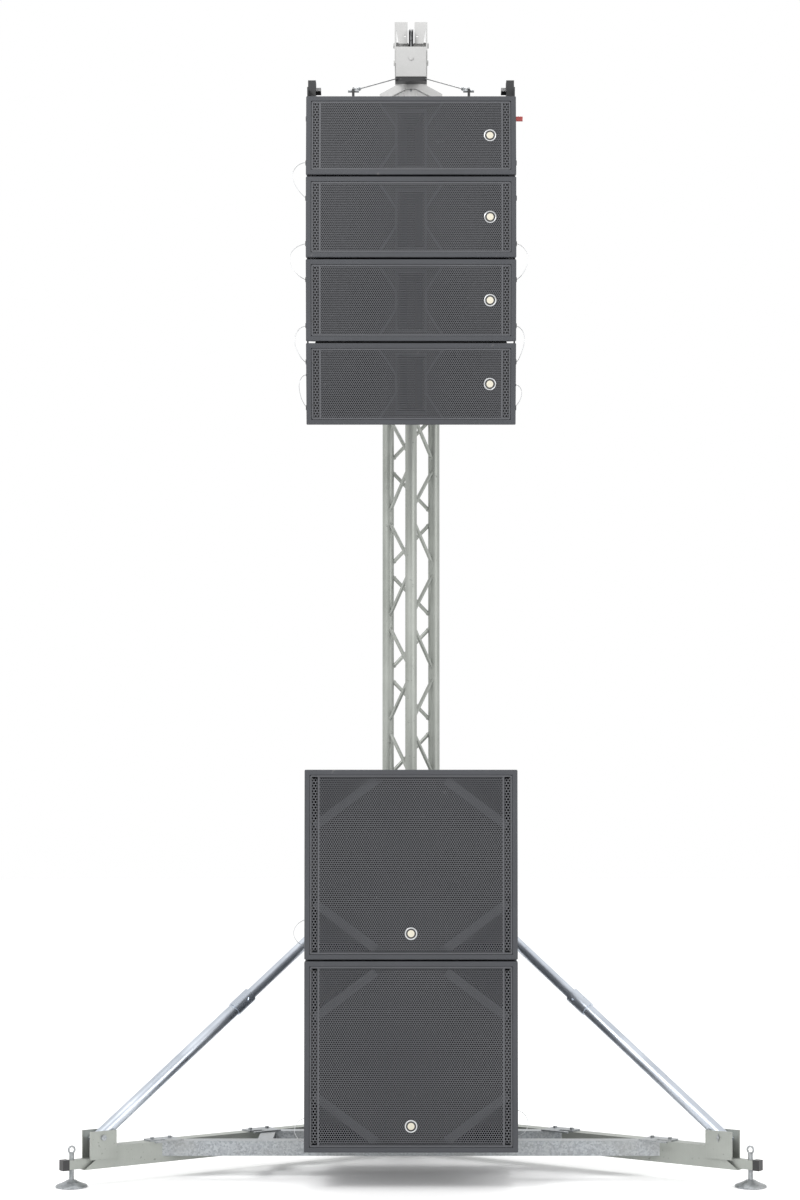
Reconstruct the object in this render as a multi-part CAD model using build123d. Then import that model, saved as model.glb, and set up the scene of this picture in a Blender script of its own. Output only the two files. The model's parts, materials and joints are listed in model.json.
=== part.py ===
from build123d import *

import math
import os

os.makedirs("parts", exist_ok=True)

# Line array loudspeaker rig: four array cabinets on a flybar in front of a three-chord lifting
# tower, two subwoofers at its foot, and a base of three outriggers with screw jacks.
# Millimetres, +Z up, the audience is towards -Y. The model is laid out about the mast's axis
# and moved at the end, so that the origin is the middle of the rig's footprint on the floor.

# ------------------------------------------------------------------ mast
CHORD_D = 50.0
CHORD_WALL = 3.0
CHORD_SPACING = 200.0
LACING_D = 16.0
LACING_PITCH = 458.0
LACING_GAP = 18.0
MAST_FOOT_Z = 230.0
END_SECTION = 1160.0
MIDDLE_SECTION = 2000.0
END_RAIL_INSET = 90.0
COUPLER_LENGTH = 120.0
COUPLER_PIN_D = 10.0
COUPLER_PIN_INSET = 35.0

# ------------------------------------------------------------------ base
LEG_SPLAY = 35.0
LEG_WIDTH = 60.0
LEG_HEIGHT = 85.0
LEG_WALL = 4.0
LEG_Z = 65.0
LEG_START = 75.0
FOOT_REACH = 1623.0
FOOT_D = 125.0
FOOT_HEIGHT = 28.0
SCREW_D = 20.0
STUB_WIDTH = 30.0
STUB_TOP_Z = 106.0
RING_CENTRE_Z = 145.0
RING_R = 13.0
RING_WIRE_D = 8.0
SLEEVE_WALL = 8.0
SLEEVE_REACH = 260.0
BEAM_SIZE = 60.0
BEAM_WALL = 4.0
SADDLE_T = 6.0

# ------------------------------------------------------------------ diagonal braces
CLEVIS_INSET = 120.0
CLEVIS_Z = 186.0
CHEEK_T = 8.0
CLEVIS_PIN_D = 12.0
BRACE_TOP_R = 140.0
BRACE_TOP_Z = 1215.0
BRACE_D = 52.0
BRACE_UPPER_D = 45.0
BRACE_WALL = 3.0
COLLAR_LENGTH = 95.0
COLLAR_D = 61.0
HOOK_T = 12.0
HOOK_PIN_D = 16.0
BAND_HEIGHT = 60.0
BAND_T = 8.0

# ------------------------------------------------------------------ head, hoist and winch
HEAD_FRAME_HEIGHT = 37.0
HEAD_CORNER_R = 39.0
HEAD_BEAM_SIZE = 130.0
HEAD_BEAM_WALL = 6.0
HEAD_BEAM_FRONT = 205.0
HEAD_BEAM_REAR = 225.0
CHEEK_PLATE_T = 6.0
CHEEK_TOP_Z = 4879.0
FLANGE_WIDTH = 50.0
SHEAVE_R = 72.0
SHEAVE_PITCH_R = 66.0
SHEAVE_WIDTH = 20.0
SHEAVE_Z = 4790.0
AXLE_D = 16.0
ROPE_D = 8.0
ROPE_FRONT_Y = -182.0
ROPE_REAR_Y = 190.0
WINCH_Z = 1440.0
DRUM_CORE_R = 35.0
DRUM_FLANGE_R = 62.0
DRUM_LENGTH = 84.0
WINCH_PLATE_T = 5.0
CRANK_ARM = 180.0

# ------------------------------------------------------------------ subwoofers
SUB_W = 830.0
SUB_H = 738.0
SUB_D = 700.0
SUB_GAP = 6.0
SUB_WALL = 18.0
SUB_LIP = 20.0
SUB_BAFFLE_Y = 60.0
SUB_WOOFER_R = 230.0

# ------------------------------------------------------------------ array cabinets
BOX_W = 830.0
BOX_H = 321.0
BOX_D = 560.0
BOX_GAP = 7.0
BOX_WALL = 18.0
BOX_LIP = 20.0
BOX_TAPER = 5.0
BOX_BAFFLE_Y = 45.0
BOX_WOOFER_R = 130.0
BOX_WOOFER_X = 203.0
HORN_HALF = 62.0
HORN_FLARE = 129.0
ARRAY_TOP_Z = 4297.0
ARRAY_SETBACK = 32.0
TILTS = [-4.0, 1.0, 6.0, 11.0]

# ------------------------------------------------------------------ grilles and rigging
GRILLE_T = 2.0
GRILLE_INSET = 3.0
GRILLE_CLEARANCE = 1.0
BADGE_D = 49.0
RECESS_DEPTH = 12.0
RECESS_Y = 55.0
RECESS_WIDTH = 70.0
RAIL_T = 4.0
RAIL_WIDTH = 50.0
LINK_T = 5.0
LINK_WIDTH = 40.0
RIG_PIN_D = 12.0
PIN_DROP = 74.0
PIN_RISE = 66.0
LUG_REACH = 45.0
LUG_DROP = 35.0
STRAP_T = 8.0
STRAP_WIDTH = 40.0
STRAP_PIN_D = 10.0
EAR_T = 6.0
RUNNING = 0.05
FREE = 0.5
CUTOUT_STEP = 16.0

# ------------------------------------------------------------------ flybar and bridle
RAIL_X = 396.0
FLYBAR_RAIL_W = 31.0
FLYBAR_RAIL_H = 48.0
FLYBAR_Z = 4294.0
LUG_TOP = 4386.0
PICK_X = 235.0
PICK_BACK = 250.0
CROSS_BAR = 40.0
PICK_RISE = 50.0
YOKE_LENGTH = 136.0
YOKE_DEPTH = 40.0
YOKE_T = 18.0
BRIDLE_D = 5.0
LANYARD_D = 2.5

# ------------------------------------------------------------------ sizes that follow
CHORD_R = CHORD_D / 2
CIRCLE_R = CHORD_SPACING / math.sqrt(3)
FRONT_CHORD = (0.0, -CIRCLE_R)
RIGHT_CHORD = (CHORD_SPACING / 2, CIRCLE_R / 2)
LEFT_CHORD = (-CHORD_SPACING / 2, CIRCLE_R / 2)
CHORDS = [FRONT_CHORD, RIGHT_CHORD, LEFT_CHORD]
JOINT_1 = MAST_FOOT_Z + END_SECTION
JOINT_2 = JOINT_1 + MIDDLE_SECTION
MAST_TOP = JOINT_2 + END_SECTION
HEAD_FRAME_Z = MAST_TOP + 40.0
HEAD_BEAM_Z = HEAD_FRAME_Z + HEAD_FRAME_HEIGHT
LEG_TOP = LEG_Z + LEG_HEIGHT
LEG_ANGLES = {"left": 180.0 + LEG_SPLAY, "right": -LEG_SPLAY, "rear": 90.0}
CLEVIS_R = FOOT_REACH - CLEVIS_INSET
SPLAY = math.radians(LEG_SPLAY)
BRACE_CLEAR = 14.0
SUB_REAR_Y = -(SUB_W / 2 * math.tan(SPLAY) + (BRACE_D / 2 + BRACE_CLEAR) / math.cos(SPLAY))
SUB_FRONT_Y = SUB_REAR_Y - SUB_D
SUB_Z = [LEG_TOP, LEG_TOP + SUB_H + SUB_GAP]
FRONT_BEAM_Y = SUB_REAR_Y - 0.52 * SUB_D
REAR_BEAM_Y = SUB_REAR_Y - 0.145 * SUB_D
FRAME_Y = -(FOOT_REACH + FOOT_D / 2 + SUB_FRONT_Y) / 2


def box_corners():
    """Top front corner (Y, Z) of each array cabinet, from the top one down along the fronts."""
    corners = [(SUB_FRONT_Y + ARRAY_SETBACK, ARRAY_TOP_Z)]
    for tilt in TILTS[:-1]:
        y, z = corners[-1]
        step = BOX_H + BOX_GAP
        angle = math.radians(tilt)
        corners.append((y + step * math.sin(angle), z - step * math.cos(angle)))
    return corners


BOX_CORNERS = box_corners()
NOSE_Y = BOX_CORNERS[0][0]
PICK_Y = NOSE_Y + PICK_BACK


# ------------------------------------------------------------------ helpers
def block(x0, x1, y0, y1, z0, z1):
    """Box between two corners."""
    middle = ((x0 + x1) / 2, (y0 + y1) / 2, (z0 + z1) / 2)
    return Pos(*middle) * Box(abs(x1 - x0), abs(y1 - y0), abs(z1 - z0))


def rod(start, end, diameter):
    """Round bar between two points."""
    start, end = Vector(*start), Vector(*end)
    plane = Plane(origin=start, z_dir=end - start)
    return Solid.make_cylinder(diameter / 2, (end - start).length, plane)


def tube(start, end, diameter, wall):
    """Round tube between two points, open at both ends."""
    return rod(start, end, diameter) - rod(start, end, diameter - 2 * wall)


def cross_pin(x0, x1, y, z, diameter):
    """Round bar along X."""
    return rod((x0, y, z), (x1, y, z), diameter)


def prism_x(points, x0, x1):
    """Outline in (Y, Z) carried along X."""
    face = Plane.YZ * make_face(Polyline(*points, close=True))
    return Pos(x0, 0, 0) * extrude(face, amount=x1 - x0)


def prism_z(points, z0, z1):
    """Outline in (X, Y) carried along Z."""
    face = make_face(Polyline(*points, close=True))
    return Pos(0, 0, z0) * extrude(face, amount=z1 - z0)


def turned_z(points):
    """Outline in (radius, Z) turned about the Z axis."""
    face = Plane.XZ * make_face(Polyline(*points, close=True))
    return revolve(face, Axis.Z)


def mirrored(shape):
    """The shape and its copy on the other side of the middle plane."""
    return [shape, mirror(shape, Plane.YZ)]


def rounded_triangle(radius, z0, z1):
    """Hull of circles about the three chords, as a prism."""
    corners = make_face(Polyline(*CHORDS, close=True))
    return Pos(0, 0, z0) * extrude(offset(corners, amount=radius), amount=z1 - z0)


def on_leg(shape, side):
    """Turns a shape laid out along +X into an outrigger's direction."""
    return Rot(0, 0, LEG_ANGLES[side]) * shape


def in_box(shape, index):
    """Takes a shape from a cabinet's own frame (front at Y 0, top edge at Z 0) to its place."""
    y, z = BOX_CORNERS[index]
    return Pos(0, y, z) * Rot(TILTS[index], 0, 0) * shape


def box_point(index, y, z):
    """The same for a point in the side plane: its (Y, Z)."""
    corner_y, corner_z = BOX_CORNERS[index]
    angle = math.radians(TILTS[index])
    return (
        corner_y + y * math.cos(angle) - z * math.sin(angle),
        corner_z + y * math.sin(angle) + z * math.cos(angle),
    )


def save(name, *shapes):
    """Writes one node: its solids, moved to the rig's own origin."""
    solids = []
    for shape in shapes:
        group = shape if isinstance(shape, (list, tuple)) else [shape]
        for item in group:
            solids.extend(item.solids())
    placed = [Pos(0, FRAME_Y, 0) * solid for solid in solids]
    whole = placed[0] if len(placed) == 1 else Compound(placed)
    export_step(whole, f"parts/{name}.step")


def fused(shapes):
    """Joins a list of shapes into one."""
    first, *rest = shapes
    return first.fuse(*rest)


# ------------------------------------------------------------------ mast
def chord_bores(z0, z1):
    """Solid bars that open the three chords."""
    bore = CHORD_D - 2 * CHORD_WALL
    return [rod((x, y, z0), (x, y, z1), bore) for x, y in CHORDS]


def radial_pin(x, y, z, diameter, inner, outer):
    """Bar through a chord along the line to the mast's middle; lengths from the chord's axis."""
    reach = math.hypot(x, y)
    ux, uy = x / reach, y / reach
    start = (x - ux * inner, y - uy * inner, z)
    return rod(start, (x + ux * outer, y + uy * outer, z), diameter)


def coupler_pins(joint_z, diameter, inner, outer):
    """The pins, or their holes, each side of a joint in the mast."""
    levels = [joint_z - COUPLER_PIN_INSET, joint_z + COUPLER_PIN_INSET]
    return [radial_pin(x, y, z, diameter, inner, outer) for z in levels for x, y in CHORDS]


def lacing(z0, z1):
    """Zigzag bars of the three faces, with their nodes half a pitch apart, and end rails."""
    bars = []
    half = LACING_PITCH / 2
    faces = [(LEFT_CHORD, FRONT_CHORD), (FRONT_CHORD, RIGHT_CHORD), (RIGHT_CHORD, LEFT_CHORD)]
    low, high = z0 + END_RAIL_INSET + LACING_D, z1 - END_RAIL_INSET - LACING_D
    for even, odd in faces:
        for step in range(math.ceil(low / half), math.floor(high / half)):
            start, end = (even, odd) if step % 2 == 0 else (odd, even)
            lower = (*start, step * half + LACING_GAP / 2)
            upper = (*end, (step + 1) * half - LACING_GAP / 2)
            bars.append(rod(lower, upper, LACING_D))
        for z in (z0 + END_RAIL_INSET, z1 - END_RAIL_INSET):
            bars.append(rod((*even, z), (*odd, z), LACING_D))
    return bars


def mast_section(z0, z1):
    """One welded truss section: chords, lacing and the holes for the coupler pins."""
    chords = [rod((x, y, z0), (x, y, z1), CHORD_D) for x, y in CHORDS]
    body = fused(chords + lacing(z0, z1))
    hole = COUPLER_PIN_D + 2 * FREE
    cuts = chord_bores(z0 - 1, z1 + 1)
    cuts += coupler_pins(z0, hole, CHORD_D, CHORD_D) + coupler_pins(z1, hole, CHORD_D, CHORD_D)
    return body.cut(*cuts)


def mast_couplers():
    """Spigots inside the chords at the four joints, with their cross pins."""
    pieces = []
    spigot_d = CHORD_D - 2 * CHORD_WALL - FREE
    for joint in (MAST_FOOT_Z, JOINT_1, JOINT_2, MAST_TOP):
        holes = coupler_pins(joint, COUPLER_PIN_D + RUNNING, CHORD_D, CHORD_D)
        for x, y in CHORDS:
            half = COUPLER_LENGTH / 2
            spigot = rod((x, y, joint - half), (x, y, joint + half), spigot_d)
            pieces.append(spigot.cut(*holes))
        pieces += coupler_pins(joint, COUPLER_PIN_D, CHORD_R + 12, CHORD_R - 1)
    return pieces


def receivers(z0, z1):
    """Conical sockets that carry the chords on from the hub or the head; wider at z0."""
    wide, narrow = CHORD_R + 3, CHORD_R
    cones = []
    for x, y in CHORDS:
        points = [(0, z0), (wide, z0), (narrow, z1), (0, z1)]
        if z1 < z0:
            points.reverse()
        cones.append(Pos(x, y, 0) * turned_z(points))
    return cones


# ------------------------------------------------------------------ base
def leg_envelope(side, clearance=0.0, end=FOOT_REACH):
    """The solid bar that an outrigger's tube fills, for cuts in what meets it."""
    half = LEG_WIDTH / 2 + clearance
    bar = block(LEG_START - 5, end, -half, half, LEG_Z - clearance, LEG_TOP + clearance)
    return on_leg(bar, side)


def leg_bolt(diameter, z0, z1):
    """Upright bolt that keeps an outrigger in its sleeve."""
    reach = SLEEVE_REACH - 60
    return rod((reach, 0, z0), (reach, 0, z1), diameter)


def base_hub():
    """Hub block with three sleeves for the outriggers and three sockets for the mast."""
    bottom, top = LEG_Z - SLEEVE_WALL, LEG_TOP + SLEEVE_WALL
    half = LEG_WIDTH / 2 + SLEEVE_WALL
    parts = [rounded_triangle(HEAD_CORNER_R, bottom, top)]
    for side in LEG_ANGLES:
        parts.append(on_leg(block(0, SLEEVE_REACH, -half, half, bottom, top), side))
    parts += receivers(top, MAST_FOOT_Z)
    bores = chord_bores(MAST_FOOT_Z - COUPLER_LENGTH / 2 - 2, MAST_FOOT_Z + 1)
    cuts = coupler_pins(MAST_FOOT_Z, COUPLER_PIN_D + 2 * FREE, CHORD_D, CHORD_D) + bores
    for side in LEG_ANGLES:
        cuts.append(leg_envelope(side, FREE))
        cuts.append(on_leg(leg_bolt(SCREW_D - 4 + 2 * FREE, 0, MAST_FOOT_Z), side))
    hub = fused(parts).cut(*cuts)
    bolts = []
    for side in LEG_ANGLES:
        shank = leg_bolt(SCREW_D - 4, bottom - 6, top)
        head = leg_bolt(SCREW_D + 8, top, top + 10)
        nut = leg_bolt(SCREW_D + 8, bottom - 12, bottom)
        bolts.append(on_leg(fused([shank, head, nut]), side))
    return [hub] + bolts


def leg(side):
    """Outrigger: box tube with a slanted end, clevis cheeks and the bar that holds the jack."""
    half = LEG_WIDTH / 2
    end_top, end_bottom = CLEVIS_R - 38, FOOT_REACH - 41
    outline = [(LEG_START, LEG_Z), (end_bottom, LEG_Z), (end_top, LEG_TOP), (LEG_START, LEG_TOP)]
    body = Rot(0, 0, -90) * prism_x([(-x, z) for x, z in outline], -half, half)
    body = Rot(0, 0, 180) * body
    inside = block(0, FOOT_REACH, -half + LEG_WALL, half - LEG_WALL, LEG_Z + LEG_WALL,
                   LEG_TOP - LEG_WALL)
    body = body - inside
    cheek = block(CLEVIS_R - 58, CLEVIS_R + 57, half, half + CHEEK_T, STUB_TOP_Z - 4, CLEVIS_Z + 26)
    cheeks = [cheek, mirror(cheek, Plane.XZ)]
    stub = block(CLEVIS_R - 5, FOOT_REACH + 37, -STUB_WIDTH / 2, STUB_WIDTH / 2,
                 LEG_Z + LEG_WALL, STUB_TOP_Z)
    body = fused([body, stub] + cheeks)
    pin_hole = rod((CLEVIS_R, -LEG_WIDTH, CLEVIS_Z), (CLEVIS_R, LEG_WIDTH, CLEVIS_Z),
                   CLEVIS_PIN_D + 2 * RUNNING)
    screw_hole = rod((FOOT_REACH, 0, 0), (FOOT_REACH, 0, LEG_TOP), SCREW_D + 2 * RUNNING)
    bolt_hole = leg_bolt(SCREW_D - 4 + 2 * FREE, 0, MAST_FOOT_Z)
    return on_leg(body.cut(pin_hole, screw_hole, bolt_hole), side)


def leg_cap(side):
    """Plastic cap on the end of the jack bar."""
    half = STUB_WIDTH / 2
    outer = block(FOOT_REACH + 17, FOOT_REACH + 45, -half - 2, half + 2, LEG_Z + LEG_WALL - 2,
                  STUB_TOP_Z + 2)
    bar = block(FOOT_REACH, FOOT_REACH + 37, -half, half, LEG_Z + LEG_WALL, STUB_TOP_Z)
    return on_leg(outer - bar, side)


def jack(side):
    """Screw jack: domed foot, and the screw with its ring handle."""
    radius = FOOT_D / 2
    dome = [(0, 0), (radius, 0), (radius, 7), (radius - 6, 10), (34, 19), (18, FOOT_HEIGHT),
            (0, FOOT_HEIGHT)]
    socket = rod((0, 0, 12), (0, 0, FOOT_HEIGHT + 1), SCREW_D + 2 * FREE)
    foot = turned_z(dome) - socket
    screw = rod((0, 0, 12), (0, 0, RING_CENTRE_Z - RING_R), SCREW_D)
    ring = Pos(0, 0, RING_CENTRE_Z) * Rot(90, 0, 0) * Torus(RING_R, RING_WIRE_D / 2)
    handle = screw + ring
    return [on_leg(Pos(FOOT_REACH, 0, 0) * shape, side) for shape in (foot, handle)]


def clevis_pin(side):
    """Headed pin through the clevis cheeks, with a split pin behind."""
    half = LEG_WIDTH / 2 + CHEEK_T
    shank = rod((CLEVIS_R, -half - 8, CLEVIS_Z), (CLEVIS_R, half, CLEVIS_Z), CLEVIS_PIN_D)
    head = rod((CLEVIS_R, half, CLEVIS_Z), (CLEVIS_R, half + 7, CLEVIS_Z), CLEVIS_PIN_D + 10)
    split = rod((CLEVIS_R, -half - 4, CLEVIS_Z - 14), (CLEVIS_R, -half - 4, CLEVIS_Z + 14), 4)
    return on_leg(fused([shank, head, split]), side)


def beam_cross(y):
    """Square tube between the two front outriggers, mitred to their sides."""
    reach = abs(y) / math.tan(SPLAY)
    half = BEAM_SIZE / 2
    bottom = LEG_TOP - BEAM_SIZE
    bar = block(-reach, reach, y - half, y + half, bottom, LEG_TOP)
    hole = block(-reach, reach, y - half + BEAM_WALL, y + half - BEAM_WALL, bottom + BEAM_WALL,
                 LEG_TOP - BEAM_WALL)
    whole = (bar - hole) - leg_envelope("left") - leg_envelope("right")
    return max(whole.solids(), key=lambda solid: solid.volume)


def beam_link():
    """Short square tube between the two cross beams, on the left."""
    half = BEAM_SIZE / 2
    x = -(abs(REAR_BEAM_Y) + half) / math.tan(SPLAY) + LEG_WIDTH / 2 / math.sin(SPLAY) + half + 4
    bar = block(x - half, x + half, FRONT_BEAM_Y + half, REAR_BEAM_Y - half, LEG_TOP - BEAM_SIZE,
                LEG_TOP)
    hole = block(x - half + BEAM_WALL, x + half - BEAM_WALL, FRONT_BEAM_Y, REAR_BEAM_Y,
                 LEG_TOP - BEAM_SIZE + BEAM_WALL, LEG_TOP - BEAM_WALL)
    return bar - hole


def beam_saddles():
    """Bolted plates that tie the beam ends to the tops of the outriggers."""
    pieces = []
    for y in (FRONT_BEAM_Y, REAR_BEAM_Y):
        reach = abs(y) / math.sin(SPLAY)
        plate = block(reach - 62, reach + 62, -LEG_WIDTH / 2, LEG_WIDTH / 2 + 45, LEG_TOP,
                      LEG_TOP + SADDLE_T)
        plate = plate - block(reach + 5, reach + 70, LEG_WIDTH / 2, LEG_WIDTH, 0, 2 * LEG_TOP)
        bolts = []
        for along in (-40, 40):
            head = Pos(reach + along, 0, LEG_TOP + SADDLE_T) * extrude(
                RegularPolygon(9, 6), amount=7)
            bolts.append(head)
        for shape in [plate] + bolts:
            left = on_leg(shape, "left")
            pieces += [left, mirror(left, Plane.YZ)]
    return pieces


# ------------------------------------------------------------------ diagonal braces
def brace(side):
    """Diagonal: lower tube with collar, upper tube ending in a hook over the mast's pin."""
    run, rise = BRACE_TOP_R - CLEVIS_R, BRACE_TOP_Z - CLEVIS_Z
    length = math.hypot(run, rise)
    middle = 0.48 * length
    lower = rod((0, 0, -35), (0, 0, middle), BRACE_D)
    collar = rod((0, 0, middle - COLLAR_LENGTH / 2), (0, 0, middle + COLLAR_LENGTH / 2), COLLAR_D)
    bore = rod((0, 0, -40), (0, 0, length), BRACE_D - 2 * BRACE_WALL)
    pin = rod((0, -LEG_WIDTH, 0), (0, LEG_WIDTH, 0), CLEVIS_PIN_D + 2 * RUNNING)
    bolt_hole = rod((0, -COLLAR_D, middle + 22), (0, COLLAR_D, middle + 22), 10 + 2 * RUNNING)
    sleeve = fused([lower, collar]).cut(bore, pin, bolt_hole)
    upper = tube((0, 0, middle - 120), (0, 0, length - 60), BRACE_UPPER_D, BRACE_WALL)
    blade_half = BRACE_UPPER_D / 2 - 3
    blade = block(-blade_half, blade_half, -HOOK_T / 2, HOOK_T / 2, length - 110, length)
    eye = rod((0, -HOOK_T / 2, length), (0, HOOK_T / 2, length), 2 * blade_half)
    notch_d = HOOK_PIN_D + 2 * FREE
    notch = rod((0, -HOOK_T, length), (0, HOOK_T, length), notch_d)
    mouth = block(-2 * blade_half, 0, -HOOK_T, HOOK_T, length - notch_d / 2, length + notch_d / 2)
    inner = fused([upper, blade, eye]).cut(notch, mouth, bolt_hole)
    bolt = rod((0, -COLLAR_D / 2 - 12, middle + 22), (0, COLLAR_D / 2, middle + 22), 10)
    head = Pos(0, COLLAR_D / 2, middle + 22) * Rot(-90, 0, 0) * extrude(
        RegularPolygon(10, 6), amount=7)
    bolt = bolt + head
    lean = math.degrees(math.atan2(run, rise))
    place = Pos(CLEVIS_R, 0, CLEVIS_Z) * Rot(0, lean, 0)
    return [on_leg(place * shape, side) for shape in (sleeve, inner, bolt)]


def brace_band():
    """Band round the mast with a pair of ears and a pin for each brace's hook."""
    z0, z1 = BRACE_TOP_Z - BAND_HEIGHT / 2, BRACE_TOP_Z + BAND_HEIGHT / 2
    inner = CHORD_R + FREE
    parts = [rounded_triangle(inner + BAND_T, z0, z1)]
    gap = HOOK_T / 2 + 1
    for side in LEG_ANGLES:
        ear = block(60, BRACE_TOP_R + 25, gap, gap + CHEEK_T, z0 - 5, z1 + 5)
        parts += [on_leg(ear, side), on_leg(mirror(ear, Plane.XZ), side)]
    cuts = [rounded_triangle(inner, z0 - 10, z1 + 10)]
    pins = []
    for side in LEG_ANGLES:
        ends = gap + CHEEK_T
        low, high = (BRACE_TOP_R, -ends, BRACE_TOP_Z), (BRACE_TOP_R, ends, BRACE_TOP_Z)
        cuts.append(on_leg(rod(low, high, HOOK_PIN_D + 2 * RUNNING), side))
        shank = rod(low, high, HOOK_PIN_D)
        cap = rod(high, (BRACE_TOP_R, ends + 6, BRACE_TOP_Z), HOOK_PIN_D + 8)
        pins.append(on_leg(fused([shank, cap]), side))
    return [fused(parts).cut(*cuts)] + pins


# ------------------------------------------------------------------ head
def head_frame():
    """Triangular frame on top of the mast, with the conical sockets under its corners."""
    top = HEAD_FRAME_Z + HEAD_FRAME_HEIGHT
    plate = rounded_triangle(HEAD_CORNER_R, HEAD_FRAME_Z, top)
    opening = rounded_triangle(-10, HEAD_FRAME_Z - 1, top + 1)
    hollow = rounded_triangle(HEAD_CORNER_R - 6, HEAD_FRAME_Z - 1, top - 6)
    web = rounded_triangle(CHORD_R, HEAD_FRAME_Z, top) - rounded_triangle(-10, 0, 2 * top)
    shell = (plate - hollow) + web - opening
    body = fused([shell] + receivers(HEAD_FRAME_Z, MAST_TOP))
    bores = chord_bores(MAST_TOP - 1, MAST_TOP + COUPLER_LENGTH / 2 + 2)
    hole = COUPLER_PIN_D + 2 * FREE
    return body.cut(*bores, *coupler_pins(MAST_TOP, hole, CHORD_D, CHORD_D))


SHEAVE_YS = [ROPE_FRONT_Y + SHEAVE_PITCH_R, ROPE_REAR_Y - SHEAVE_PITCH_R]


def head_beam():
    """Box beam along the mast's middle plane, open on top over both sheaves."""
    half, wall = HEAD_BEAM_SIZE / 2, HEAD_BEAM_WALL
    z0, z1 = HEAD_BEAM_Z, HEAD_BEAM_Z + HEAD_BEAM_SIZE
    beam = block(-half, half, -HEAD_BEAM_FRONT, HEAD_BEAM_REAR, z0, z1)
    inside = block(-half + wall, half - wall, -HEAD_BEAM_FRONT + wall, HEAD_BEAM_REAR - wall,
                   z0 + wall, z1 - wall)
    cuts = [inside]
    for y in SHEAVE_YS:
        reach = SHEAVE_R + 5
        slot = SHEAVE_WIDTH / 2 + 4
        cuts.append(block(-slot, slot, y - reach, y + reach, z1 - 2 * wall, z1 + 1))
    for y in (ROPE_FRONT_Y, ROPE_REAR_Y):
        cuts.append(rod((0, y, z0 - 1), (0, y, z0 + 2 * wall), ROPE_D + 12))
    bolt = rod((0, -HEAD_BEAM_FRONT - 5, (z0 + z1) / 2 + 14),
               (0, -HEAD_BEAM_FRONT, (z0 + z1) / 2 + 14), 17)
    return [beam.cut(*cuts), bolt]


def head_cheeks():
    """Angle plates on both sides of the beam, with flanges towards the front and the rear."""
    half = HEAD_BEAM_SIZE / 2
    beam_top = HEAD_BEAM_Z + HEAD_BEAM_SIZE
    front, rear = -HEAD_BEAM_FRONT + 45, HEAD_BEAM_REAR - 30
    side = block(half, half + CHEEK_PLATE_T, front, rear, beam_top - 57, CHEEK_TOP_Z)
    inner = half - FLANGE_WIDTH
    cheeks = []
    flange_z = beam_top + 28
    outline = [(inner, CHEEK_TOP_Z), (half + 1, CHEEK_TOP_Z), (half + 1, CHEEK_TOP_Z - 20),
               (half - 12, flange_z), (inner, flange_z)]
    flange = Pos(0, front + CHEEK_PLATE_T, 0) * extrude(
        Plane.XZ * make_face(Polyline(*outline, close=True)), amount=CHEEK_PLATE_T)
    hole_z = flange_z + 33
    hole = rod((inner + 11, front - 9, hole_z), (inner + 11, front + 19, hole_z), 9)
    cheek = fused([side, flange - hole])
    for y in SHEAVE_YS:
        cheek = cheek - cross_pin(0, 2 * half, y, SHEAVE_Z, AXLE_D + 2 * RUNNING)
    cheeks += mirrored(cheek)
    ends = half + CHEEK_PLATE_T
    for y in SHEAVE_YS:
        axle = cross_pin(-ends, ends, y, SHEAVE_Z, AXLE_D)
        caps = [cross_pin(ends, ends + 6, y, SHEAVE_Z, AXLE_D + 8),
                cross_pin(-ends - 6, -ends, y, SHEAVE_Z, AXLE_D + 8)]
        spacer_end = SHEAVE_WIDTH / 2 + 2
        axle = fused([axle] + caps)
        cheeks.append(axle)
        for x0, x1 in ((spacer_end, half - FREE), (-half + FREE, -spacer_end)):
            spacer = tube((x0, y, SHEAVE_Z), (x1, y, SHEAVE_Z), AXLE_D + 12, 5)
            cheeks.append(spacer)
    return cheeks


def sheave(y):
    """Grooved rope wheel."""
    half = SHEAVE_WIDTH / 2
    floor = SHEAVE_PITCH_R - ROPE_D / 2 - FREE
    bore = AXLE_D / 2 + RUNNING
    outline = [(bore, -half), (SHEAVE_R, -half), (SHEAVE_R, -half + 3), (floor, -ROPE_D / 2),
               (floor, ROPE_D / 2), (SHEAVE_R, half - 3), (SHEAVE_R, half), (bore, half)]
    wheel = turned_z(outline)
    holes = []
    for step in range(5):
        angle = math.radians(72 * step)
        x, z = 36 * math.cos(angle), 36 * math.sin(angle)
        holes.append(rod((x, z, -half - 1), (x, z, half + 1), 20))
    return Pos(0, y, SHEAVE_Z) * Rot(0, 90, 0) * wheel.cut(*holes)


# ------------------------------------------------------------------ winch and hoist rope
DRUM_Y = ROPE_REAR_Y - DRUM_CORE_R - ROPE_D / 2
SHAFT_D = 20.0
GEAR_CENTRES = 95.0
WHEEL_TEETH, PINION_TEETH = 70, 20
WHEEL_R = GEAR_CENTRES * WHEEL_TEETH / (WHEEL_TEETH + PINION_TEETH) - FREE
PINION_R = GEAR_CENTRES * PINION_TEETH / (WHEEL_TEETH + PINION_TEETH) - FREE
PINION_Z = WINCH_Z + GEAR_CENTRES
CASE_X = DRUM_LENGTH / 2 + 12.0


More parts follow.
